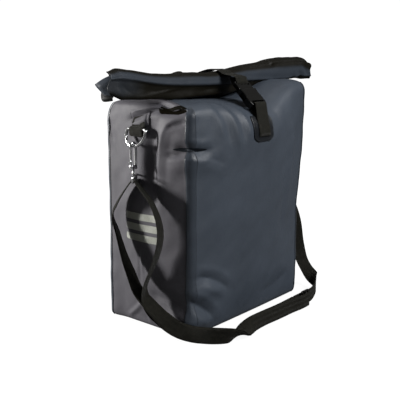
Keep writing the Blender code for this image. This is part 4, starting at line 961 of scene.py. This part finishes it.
# ---- the rolled mouth ----
# The roll along the bag: x, its middle in Y, the height of its top, and its half thickness and half height.
ROLL = [
    (-0.25, -0.013, 0.4125, 0.016, 0.0219),
    (-0.2, -0.015, 0.4092, 0.017, 0.021),
    (-0.16, -0.017, 0.4045, 0.017, 0.0196),
    (-0.115, -0.0188, 0.403, 0.017, 0.0188),
    (-0.07, -0.02, 0.4042, 0.017, 0.019),
    (-0.035, -0.0203, 0.404, 0.017, 0.0184),
    (0, -0.0205, 0.4066, 0.017, 0.0196),
    (0.03, -0.021, 0.411, 0.017, 0.0207),
    (0.06, -0.0216, 0.4158, 0.017, 0.0216),
    (0.09, -0.0232, 0.4188, 0.017, 0.0212),
    (0.12, -0.0254, 0.4225, 0.017, 0.0208),
    (0.145, -0.0275, 0.4262, 0.017, 0.021),
    (0.18, -0.032, 0.4285, 0.017, 0.0205),
    (0.21, -0.037, 0.4285, 0.017, 0.0192),
    (0.235, -0.044, 0.4265, 0.0168, 0.0182),
    (0.255, -0.049, 0.424, 0.016, 0.0175),
]
ROLL_LEFT, ROLL_RIGHT, ROLL_SLANT = -0.229, 0.25, 0.017
ROLL_ROUND = 0.115  # the cloth in one turn
COIL_PITCH = 0.0034
COIL_START, COIL_END = -0.16, 2.25  # in turns: 0 is the roll's back, a quarter its top and a half its front
# The light outer side of the cloth shows along the roll between these turns; the rest is its black inside.
BAND_TOP = [(-0.25, 0.36), (-0.1, 0.39), (0, 0.405), (0.07, 0.425), (0.17, 0.47), (0.26, 0.46)]
BAND_FOOT = [(-0.25, 0.455), (-0.1, 0.495), (0, 0.51), (0.07, 0.53), (0.17, 0.62), (0.26, 0.57)]
ROLL_CREASES = [
    ([(-0.212, 0.074), (-0.165, 0.067), (-0.113, 0.06)], -0.0018, 0.0036),
    ([(-0.2, 0.07), (-0.16, 0.064), (-0.12, 0.059)], 0.0012, 0.003),
    ([(-0.15, 0.078), (-0.11, 0.073), (-0.06, 0.069)], -0.0014, 0.004),
    ([(-0.08, 0.07), (-0.04, 0.066), (0.01, 0.064)], 0.0012, 0.0036),
    ([(-0.228, 0.056), (-0.218, 0.064), (-0.206, 0.07)], 0.0016, 0.003),
    ([(-0.235, 0.062), (-0.226, 0.07), (-0.221, 0.078)], -0.0012, 0.0028),
    ([(-0.21, 0.033), (-0.15, 0.037), (-0.08, 0.039)], -0.0008, 0.0026),
    ([(-0.12, 0.035), (-0.06, 0.033), (0, 0.035)], 0.0007, 0.0022),
    ([(0.03, 0.035), (0.09, 0.039), (0.15, 0.041)], -0.0009, 0.0026),
    ([(0.05, 0.045), (0.11, 0.05), (0.165, 0.054)], 0.0008, 0.003),
    ([(0.12, 0.064), (0.17, 0.068), (0.225, 0.064)], -0.0012, 0.0036),
    ([(0.228, 0.024), (0.234, 0.042), (0.233, 0.062)], 0.0016, 0.0034),
    ([(0.212, 0.052), (0.222, 0.06), (0.228, 0.072)], 0.0018, 0.003),
    ([(0.196, 0.06), (0.204, 0.068), (0.208, 0.078)], 0.0016, 0.003),
    ([(0.18, 0.065), (0.186, 0.072), (0.19, 0.08)], 0.0012, 0.0026),
]
EXTRA_LAYER = 0.0018  # the mouth's corner, folded in at the right
SQUARENESS = 0.82  # 1 would be an oval, less is squarer


def roll_point(x, turn):
    """Y and Z of a place on the rolled cloth, at a turn of the coil."""
    middle, top, deep, high = np.moveaxis(through(ROLL, x), -1, 0)
    below = turn - through(BAND_FOOT, x)[..., 0]
    lip = 0.0012 * hump(below, -0.012, 0.02) - 0.0018 * within(below, 0.0, 0.014, 0.05, 0.16)
    hang = 0.004 * hump(turn, 0.645, 0.055) * (1 - smooth(x, -0.02, 0.05))
    layer = EXTRA_LAYER * smooth(x, 0.12, 0.1245) * within(turn, -0.1, 0.0, 0.36, 0.42)
    run = turn * ROLL_ROUND
    creased = sum(crease_depth(x, run, *crease) for crease in ROLL_CREASES)
    waves = 0.0006 * ripple(x, run, 21, 0.06) + 0.0003 * ripple(x, run, 23, 0.022)
    outside = 1 - smooth(turn, 0.72, 0.8)
    inset = COIL_PITCH * np.maximum(turn - 0.32, 0) - (lip + hang + layer + creased + waves) * outside
    c, s = np.cos(turn * tau), np.sin(turn * tau)
    y = middle + np.sign(c) * np.abs(c) ** SQUARENESS * (deep - inset)
    z = top - high + np.sign(s) * np.abs(s) ** SQUARENESS * (high - inset)
    return y, z


NECK_TOP = 0.4065  # the height of the roll's top where the flap's rows below are true
# How the cloth comes up from the hinge line over the neck: share of the way, Y and Z.
FLAP = [(0, 0.0134, 0.3925), (0.2, 0.013, 0.3968), (0.35, 0.011, 0.3992), (0.55, 0.005, 0.4012),
        (1, -0.007, 0.4052)]
FLAP_TURNS = 0.37


def add_roll():
    turns = np.concatenate([np.linspace(COIL_START, 0.75, 100), np.linspace(0.76, COIL_END, 70)])
    # The ends of the cloth aren't square: the front reaches furthest at the left, and the back at the right.
    wound = smooth(turns, 0.72, 0.85)
    towards_front = (1 - np.cos(turns * tau)) / 2
    left = ROLL_LEFT - ROLL_SLANT * towards_front + 0.004 * wound + 0.0035 * np.sin(turns * 19)
    right = ROLL_RIGHT - ROLL_SLANT * towards_front - 0.003 * wound + 0.0009 * np.sin(turns * 23)
    x = left[None, :] + (right - left)[None, :] * np.linspace(0, 1, 190)[:, None]
    turn = np.broadcast_to(turns, x.shape)
    y, z = roll_point(x, turn)
    # Both ends close in softly, and the right one droops.
    to_left, to_right = x - left[None, :], right[None, :] - x
    middle, top, _, high = np.moveaxis(through(ROLL, x), -1, 0)
    pinch = 1 - 0.24 * (1 - smooth(to_left, 0, 0.016)) - 0.3 * (1 - smooth(to_right, 0, 0.024))
    droop = 0.006 * (1 - smooth(to_right, 0, 0.034)) * smooth(turn, 0.15, 0.4)
    y = middle + (y - middle) * pinch
    z = top - high + (z - top + high) * pinch - droop
    # Over the neck the cloth comes up from the hinge line instead of lying on the roll's back.
    share = np.clip((turn - COIL_START) / FLAP_TURNS, 0, 1)
    over_neck = (1 - smooth(np.abs(x), 0.112, 0.15)) * (1 - smooth(share, 0.85, 1.0))
    flap = through(FLAP, share)
    y = y + (flap[..., 0] - y) * over_neck
    z = z + (flap[..., 1] + (top - NECK_TOP) * smooth(share, 0.2, 1.0) - z) * over_neck
    # The light band, and a paler place at the left end.
    band_top, band_foot = through(BAND_TOP, x)[..., 0], through(BAND_FOOT, x)[..., 0]
    tone = within(turn, band_top - 0.03, band_top + 0.03, band_foot - 0.01, band_foot + 0.006)
    tone = np.maximum(tone, 0.5 * (1 - smooth(x, -0.225, -0.175)) * within(turn, 0.4, 0.45, 0.56, 0.64))
    flat = np.stack([x, turn * ROLL_ROUND], axis=-1)
    roll = cloth("roll_skin", np.stack([x, y, z], axis=-1), 0.001, mouth_fabric, flat, tone)
    put(roll, "roll", "roll_fabric", "roll_wrap")
    for name, rows, tone in (("mouth_tip", MOUTH_TIP, 0.95), ("mouth_flap", MOUTH_FLAP, 0.12)):
        add_mouth_corner(name, rows, tone)
    add_battens()


# The folded corner of the mouth that shows in the roll's left end, and the dark flap under it, as rows of
# three points.
MOUTH_TIP = [
    ((-0.239, -0.02, 0.4025), (-0.244, -0.006, 0.396), (-0.247, 0.005, 0.3885)),
    ((-0.242, -0.0225, 0.395), (-0.249, -0.008, 0.389), (-0.2465, 0.004, 0.386)),
    ((-0.243, -0.024, 0.385), (-0.2485, -0.011, 0.383), (-0.244, 0, 0.3815)),
    ((-0.241, -0.024, 0.374), (-0.2455, -0.013, 0.3745), (-0.241, -0.006, 0.3755)),
]
MOUTH_FLAP = [
    ((-0.238, -0.024, 0.376), (-0.242, -0.012, 0.3765), (-0.24, 0, 0.378)),
    ((-0.242, -0.024, 0.371), (-0.245, -0.011, 0.37), (-0.242, -0.0005, 0.372)),
    ((-0.24, -0.023, 0.3665), (-0.243, -0.01, 0.365), (-0.24, -0.001, 0.3668)),
]
CORNER_PITCH = 0.012  # the cloth between two of those points


def add_mouth_corner(name, rows, tone):
    rows = np.array(rows)[:, ::-1]
    v, u = np.meshgrid(np.linspace(0, len(rows) - 1, 25), np.linspace(0, 2, 21), indexing="ij")
    up = along_rows(rows.reshape(len(rows), -1), v[:, 0]).reshape(-1, 3, 3)
    points = np.stack([along_rows(line, u[0]) for line in up])
    points[..., 0] -= 0.0007 * ripple(u * CORNER_PITCH, v * 0.01, 31, 0.016)
    flat = np.stack([u, v], axis=-1) * CORNER_PITCH
    piece = cloth(name, points[::-1], 0.002, mouth_fabric, flat[::-1], np.full(u.shape, tone))
    put(piece, "roll", "roll_fabric", "roll_wrap")


def add_battens():
    """Two flat battens in the roll's core, which show in its open ends."""
    x = np.linspace(-0.232, 0.228, 90)
    middle, top, _, high = through(ROLL, x).T
    upper = [(0.0006, 0.006), (0.0002, 0.0065), (-0.0002, 0.0065), (-0.0006, 0.006)]
    outline = [(-y, -z) for y, z in upper] + upper
    for name, shift in (("front", -0.0022), ("back", 0.0022)):
        centres = zip(x, middle + shift, top - high)
        rings = [[(a, b + dy, c + dz) for dy, dz in outline] for a, b, c in centres]
        put(loft(f"batten_{name}", rings, board, angle=30), "roll", "board", f"mouth_batten_{name}")


# ---- the closure ----
BUCKLE_CENTRE = np.array([0, -0.0835, 0.369])
BUCKLE_ALONG = unit(np.array([0.0, 1.0, 1.0]))
BUCKLE_OUT = unit(np.array([0.0, -1.0, 1.0]))
SOCKET_BAR, PLUG_BAR = -0.02325, 0.026  # along the buckle from its centre
CLOSURE_WEBBING = 0.03
CLOSURE_THICK = 0.0014
STITCH_PITCH = 0.0014
STITCH_COLUMNS = np.linspace(-0.0125, 0.0125, 18)
# The strap, in Y and Z: up the back from its patch, over the roll, and down to the plug's bar.
STRAP_TOP, STRAP_FRONT = (0.002, 0.4064), (-0.04, 0.4018)
STRAP_BACK = [(0.09125, 0.3235), (0.09125, 0.332), (0.0895, 0.346), (0.078, 0.362), (0.055, 0.38),
              (0.032, 0.395), (0.018, 0.4016), (0.01, 0.4042), STRAP_TOP]
STRAP_OVER = [STRAP_TOP, (-0.008, 0.4084), (-0.02, 0.4088), (-0.031, 0.4066), STRAP_FRONT]
# Round a bar of the buckle and back behind it: along the buckle from the bar, and out from its middle plane.
ROUND_SOCKET = [(-0.0034, 0.0062), (-0.0006, 0.0072), (0.0022, 0.006), (0.0028, 0), (0.002, -0.006),
                (-0.0008, -0.007), (-0.0036, -0.0064)]
ROUND_PLUG = [(0.008, 0.0064), (0.0026, 0.005), (-0.001, 0.0047), (-0.0032, 0.0028), (-0.0034, -0.0026),
              (-0.0014, -0.0046), (0.002, -0.0048), (0.007, -0.004), (0.014, -0.001)]


def at_buckle(along, out):
    return tuple(BUCKLE_CENTRE + BUCKLE_ALONG * along + BUCKLE_OUT * out)


def closure_strip(name, points, node):
    line, _, _ = even_route(points, 0.0022)
    strip = webbing_strip(name, line, (1, 0, 0), CLOSURE_WEBBING, CLOSURE_THICK, webbing)
    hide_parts(node)
    return strip


def stitches(name, places, along, out, body):
    """Short raised stitches, each a rounded sausage of thread, all in one piece."""
    along, out = unit(np.asarray(along, float)), unit(np.asarray(out, float))
    across = np.cross(along, out)
    ends = np.array([-0.5, -0.42, -0.2, 0.2, 0.42, 0.5]) * 0.0022
    sizes = np.array([0.25, 0.8, 1.0, 1.0, 0.8, 0.25]) * 0.00042
    round_thread = [across * cos(a) + out * sin(a) for a in np.arange(8) * tau / 8]
    points, faces = [], []
    for place in places:
        faces += tube_faces(len(ends), len(round_thread), start=len(points))
        for end, size in zip(ends, sizes):
            points += [np.asarray(place) + along * end + way * size for way in round_thread]
    put(make_mesh(name, points, faces, stitching), body, "webbing")


def closure_outline(v):
    rounded = 1 - 0.42 * max(0.0, 1 - v / 0.22) ** 2.2 - 0.1 * max(0.0, (v - 0.86) / 0.14) ** 2
    return 0.297 + 0.04 * v, FRONT_MIDDLE, 0.0265 * rounded


def add_closure():
    patch = shell_patch("closure_patch_skin", closure_outline, PATCH_LIFT, 0.0012, weld_fabric_and_edge_shade, 41, 31,
                        beads=0.0005)
    put(patch, "bag", "front_fabric", "closure_patch")

    # The short tab runs from the patch up round the socket's bar and back down behind itself.
    on_patch = [on_shell(FRONT_MIDDLE, z, 0.003)[0] for z in (0.305, 0.311, 0.32, 0.33)]
    turned = [at_buckle(SOCKET_BAR + a, b) for a, b in ROUND_SOCKET]
    behind = [p + (0, 0.0016, 0) for p in on_patch[1:][::-1]]
    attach(closure_strip("closure_tab_webbing", on_patch + turned + behind, "closure_tab"), "bag")
    low = on_patch[0] + (0, -0.0008, 0.0015)
    rows = [low + (x, 0.0002 * k, 0.0012 * k) for k in range(3) for x in STITCH_COLUMNS]
    stitches("closure_tab_stitches", rows, (0.35, 0, 1), (0.0, -1.0, 0.12), "bag")

    back = closure_strip("closure_strap_back", [(0, y, z) for y, z in STRAP_BACK], "closure_strap")
    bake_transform(back)
    over = closure_strip("closure_strap_over", [(0, y, z) for y, z in STRAP_OVER], "closure_strap")
    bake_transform(over)
    down = [(0, *STRAP_FRONT)] + [at_buckle(PLUG_BAR + a, b) for a, b in ROUND_PLUG]
    loop = closure_strip("closure_strap_loop", down, "closure_strap")
    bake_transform(loop)
    rows = [(x, 0.0921, 0.3255 + STITCH_PITCH * k) for k in range(4) for x in STITCH_COLUMNS]
    stitches("closure_strap_stitches", rows, (0.35, 0, 1), (0, 1, 0), "bag")


# ---- rings and snap hooks ----
RING_X, RING_Y, RING_Z = 0.1668, 0.0045, 0.3205  # the middle of the ring's straight bar, at the right side
RING_DROP, RING_HALF, RING_LEAN = 0.025, 0.02, 0.0085
BOW_TOP = 0.0042  # how far below the bar the ring's bow begins
RING_PLACE = gusset_place(RING_Y)
RING_CORNER = [(0, 0.0036), (0.0004, 0.002), (0.0014, 0.0007), (0.003, 0)]  # in from the side and down
SWIVEL_X = RING_X + RING_LEAN
HOOK_TOP, HOOK_FOOT, HOOK_HALF = 0.3002, 0.264, 0.005
EYE_BAR_Z, EYE_HALF, EYE_HEIGHT, EYE_TURN = 0.241, 0.0138, 0.01, radians(40)
# The post between hook and eye: height and radius, with a collar at each end.
EYE_POST = [(0, 0.001), (0.0004, 0.0021), (0.0022, 0.0026), (0.004, 0.0024), (0.0052, 0.0018),
            (0.0104, 0.0017), (0.0124, 0.0017), (0.0128, 0.0027), (0.014, 0.0028), (0.015, 0.0022),
            (0.0153, 0.0008)]
# The hook's block from foot to top: height and share of its full outline.
HOOK_BLOCK = [(-0.0035, 0.86), (-0.0029, 0.97), (-0.002, 1), (0.0014, 1), (0.0024, 0.96), (0.003, 0.84)]
# The gate from its pivot up, with the thumb's bump: out from its line, height over the hook's foot, radius.
GATE = [(0, 0.0034, 0.0017), (0.001, 0.0056, 0.0021), (0.0012, 0.0076, 0.0022), (0.0004, 0.01, 0.0017),
        (0, 0.013, 0.0016), (0, 0.02, 0.0016), (0, 0.0262, 0.0016)]


def at_side(side, x, y, z):
    return np.array([side * x, y, z])


def add_ring(side, name):
    """A D-ring: a bow that hangs from a straight bar, through rounded corners, and leans outwards."""
    turn = np.linspace(0.02, pi - 0.02, 60)
    arc = [(-RING_HALF * cos(a), BOW_TOP + (RING_DROP - BOW_TOP) * sin(a) ** 0.8) for a in turn]
    corner = [(RING_HALF - y, drop) for y, drop in RING_CORNER]
    bar = [(y, 0.0) for y in np.linspace(0.015, -0.015, 17)]
    outline = arc + corner + bar + [(-y, drop) for y, drop in reversed(corner)]
    lean = RING_LEAN / RING_DROP
    line = [at_side(side, RING_X + drop * lean, RING_Y + y, RING_Z - drop) for y, drop in outline]
    ring = wire(f"ring_{name}", line, 0.0024, (side, 0, 0.3), chrome, 18, closed=True)
    put(ring, f"ring_{name}", "chrome", f"d_ring_{name}")


def add_ring_loop(side, name):
    """The loop of webbing that holds the ring, from under its patch round the bar and back, and the patch."""
    place = RING_PLACE if side == LEFT else FRONT_RIGHT - RING_PLACE
    down = [on_shell(place, z, lift)[0] for lift, z in ((0.0008, 0.3415), (0.0009, 0.3345), (0.0018, 0.3295))]
    around = []
    for a in (*range(150, -166, -35), -190):
        across, up = 0.0034 * cos(radians(a)), 0.0072 * sin(radians(a))
        around.append(at_side(side, RING_X + across, RING_Y, RING_Z - 0.0036 + up))
    back = [on_shell(place, z, lift)[0] for lift, z in ((0.0006, 0.3262), (0.0004, 0.329), (0.0003, 0.332))]
    path, _, _ = even_route(down + around + back, 0.0016)
    loop = webbing_strip(f"ring_loop_webbing_{name}", path, (0, 1, 0), 0.027, 0.0014, webbing)
    put(loop, "bag", "webbing", f"ring_loop_{name}")

    def outline(v):
        return 0.3262 + 0.0228 * v, RING_PLACE, 0.019 * rounded_end(v, 0.13, 0.16)

    patch = shell_patch(f"ring_patch_skin_{name}", outline, PATCH_LIFT, 0.001, gusset_fabric, 49, 25, side,
                        beads=0.0003, dome=0.0013)
    put(patch, "bag", "gusset_fabric", f"ring_patch_{name}")


def add_snap_hook(side, name):
    turn = [(-HOOK_HALF * cos(a), HOOK_TOP - HOOK_HALF + HOOK_HALF * sin(a)) for a in np.linspace(0, pi, 16)]
    body = [(-HOOK_HALF, HOOK_FOOT + 0.001 + 0.0024 * k) for k in range(13)] + turn
    body += [(HOOK_HALF, HOOK_TOP - HOOK_HALF - drop) for drop in (0.002, 0.0044)]
    thick = np.full(len(body), 0.0026)
    thick[-1] = 0.0011
    line = [at_side(side, SWIVEL_X + a, RING_Y, z) for a, z in body]
    hook = wire("hook_bend", line, thick, (0, 1, 0), chrome)
    outline = rounded_outline(0.0072, 0.0031, 0.0026, 6)
    block = [[at_side(side, SWIVEL_X + a * grow, RING_Y + b * grow, HOOK_FOOT + z) for a, b in outline]
             for z, grow in HOOK_BLOCK]
    foot = loft("hook_foot", block if side == RIGHT else [ring[::-1] for ring in block], chrome, angle=35)
    put(joined(f"hook_{name}", hook, foot), f"hook_{name}", "chrome", f"snap_hook_{name}")
    rows = along_rows(GATE, np.linspace(0, len(GATE) - 1, 40))
    line = [at_side(side, SWIVEL_X + HOOK_HALF + a, RING_Y, HOOK_FOOT + z) for a, z, _ in rows]
    gate = wire(f"gate_{name}", line, rows[:, 2], (0, 1, 0), chrome, 14)
    put(gate, f"gate_{name}", "chrome", f"hook_gate_{name}")


def add_swivel_eye(side, name):
    """The eye that the strap runs through, turned outwards under the hook, and the post between them."""
    c, s = cos(EYE_TURN), sin(EYE_TURN)
    middle = EYE_BAR_Z + EYE_HEIGHT / 2
    loop = [(side * SWIVEL_X + a * c, RING_Y + a * s, middle + b)
            for a, b in rounded_outline(EYE_HALF + 0.0014, EYE_HEIGHT / 2, 0.0032, 8)]
    eye = wire("eye_loop", loop, 0.0014, (-s, c, 0), chrome, closed=True)
    foot = (side * SWIVEL_X, RING_Y, EYE_BAR_Z + EYE_HEIGHT - 0.0006)
    post = lathe("eye_post", EYE_POST, foot, (0, 0, 1), chrome, 28)
    put(joined(f"eye_{name}", eye, post), f"ring_{name}", "chrome", f"swivel_eye_{name}")


# Where the painted shadow lies in the tuck under the roll.
def tuck_shadow_outline(v):
    half = 0.029 * sqrt(max(0.02, 1 - abs(2 * v - 1.25) ** 1.5 / 1.9))
    return 0.345 + 0.0165 * v, RING_PLACE + 0.056 + 0.012 * v, half


# Where the painted shade lies in the dent across the near corner.
def dent_shadow_outline(v):
    return 0.2906 + 0.006 * v, 0.001 - 0.003 * v, 0.029 * sqrt(max(0.02, 1 - abs(2 * v - 1) ** 1.4))


def add_fold_shades():
    """Two dark skins on the left gusset, painted shadow in the insides of folds deeper than the wall's own
    relief: the tuck under the roll and the dent across the near corner.
    """
    for name, outline, lift, fabric in (("tuck_shadow_skin", tuck_shadow_outline, 0.0005, painted_tuck_shadow),
                                        ("dent_shadow_skin", dent_shadow_outline, 0.0009, painted_dent_shadow)):
        put(shell_patch(name, outline, lift, 0.0008, fabric, 61, 15), "bag", "gusset_fabric", "gusset_left")


# ---- reflectors, slider and handle ----
REFLECTOR_HEIGHTS = (0.1835, 0.1665, 0.1495)
REFLECTOR_PLACE = gusset_place(0.003)


def add_reflectors(side, name):
    for number, height in enumerate(REFLECTOR_HEIGHTS, 1):
        def outline(v, height=height):
            return height + 0.011 * (v - 0.5), REFLECTOR_PLACE, 0.034 * rounded_end(v, 0.055, 0.3)

        strip = shell_patch(f"reflector_film_{name}_{number}", outline, 0.0008, 0.0005, film, 49, 15, side)
        put(strip, "bag", "reflector", f"reflector_{name}_{number}")


SLIDER = (0.089, -0.1446, 0.016)


def add_slider():
    """A ladder-lock slider: a frame of round-edged bars with a middle bar."""
    x, y, z = SLIDER
    frame_line = [(x + a, y, z + b) for a, b in rounded_outline(0.0112, 0.0141, 0.003, 6)]
    outer = wire("slider_frame", frame_line, 0.0017, (0, 1, 0), buckle_plastic, 14, closed=True)
    bar = [(x, y, z + b) for b in np.linspace(-0.014, 0.014, 12)]
    middle = wire("slider_bar", bar, 0.0014, (0, 1, 0), buckle_plastic, 14)
    put(joined("slider", outer, middle), "slider", "buckle_plastic", "strap_slider")


HANDLE_WEBBING, HANDLE_THICK = 0.022, 0.0022
# The right half of the handle's arch, from its foot on the back to its middle over the roll.
HANDLE_ARCH = [(0.036, 0.1105, 0.311), (0.036, 0.1105, 0.336), (0.0355, 0.104, 0.356), (0.03, 0.088, 0.376),
               (0.016, 0.068, 0.392), (0.0, 0.059, 0.3975)]


def add_handle():
    """The carry handle. Its webbing leans over towards the top, where it lies flat on the roll."""
    arch = [(-x, y, z) for x, y, z in HANDLE_ARCH] + HANDLE_ARCH[-2::-1]
    line, _, _ = even_route(arch, 0.0025)
    lean = 0.7 * np.clip((line[:, 2] - 0.336) / 0.045, 0, 1)
    widths = np.stack([0 * lean, np.cos(lean), np.sin(lean)], axis=-1)
    handle = webbing_strip("handle_webbing", line, widths, HANDLE_WEBBING, HANDLE_THICK, webbing)
    put(handle, "handle", "webbing", "carry_handle")
    rows = [(end * 0.0373, 0.1105 + y, 0.32 + STITCH_PITCH * k)
            for end in (LEFT, RIGHT) for k in range(3) for y in np.linspace(-0.009, 0.009, 12)]
    stitches("handle_stitches", rows, (0, 0.35, 1), (1, 0, 0), "handle")


MOULDED_PARTS = ["upper_rail", "lower_rail", "anchor_carriage", "anchor_arm", "buckle_socket", "buckle_plug"]
for _, name in SIDES:
    MOULDED_PARTS += [f"{part}_{name}" for part in ("rack_hook", "hook_insert", "hook_lever", "buckle_prong")]


def soften_moulded_parts():
    """Moulded parts have rounded edges: the CAD shapes stay, under a narrow bevel."""
    for name in MOULDED_PARTS:
        bevel = frame["nodes"][name].modifiers.new("edges", "BEVEL")
        bevel.width = 0.0005
        bevel.segments = 2
        bevel.limit_method = "ANGLE"
        bevel.angle_limit = radians(40)
        bevel.harden_normals = False


add_roll()
add_closure()
for side, name in SIDES:
    add_ring(side, name)
    add_ring_loop(side, name)
    add_snap_hook(side, name)
    add_swivel_eye(side, name)
    add_reflectors(side, name)
add_fold_shades()
add_slider()
add_handle()
soften_moulded_parts()


# ---- the CAD parts that stay ----
CAD_FINISHES = {
    "front_fabric": front_fabric, "gusset_fabric": gusset_fabric, "roll_fabric": mouth_fabric,
    "webbing": webbing, "buckle_plastic": buckle_plastic, "rail_plastic": rail_plastic, "chrome": chrome,
    "screw_steel": steel, "reflector": film, "board": board,
}


def finish_cad_nodes():
    """Every node of the frame that still shows gets the full material of its slot."""
    slots = {part["node"]: part["material_slot"] for part in frame["record"]["subparts"]}
    for name, node in frame["nodes"].items():
        node.data.materials.clear()
        node.data.materials.append(CAD_FINISHES[slots[name]])


finish_cad_nodes()
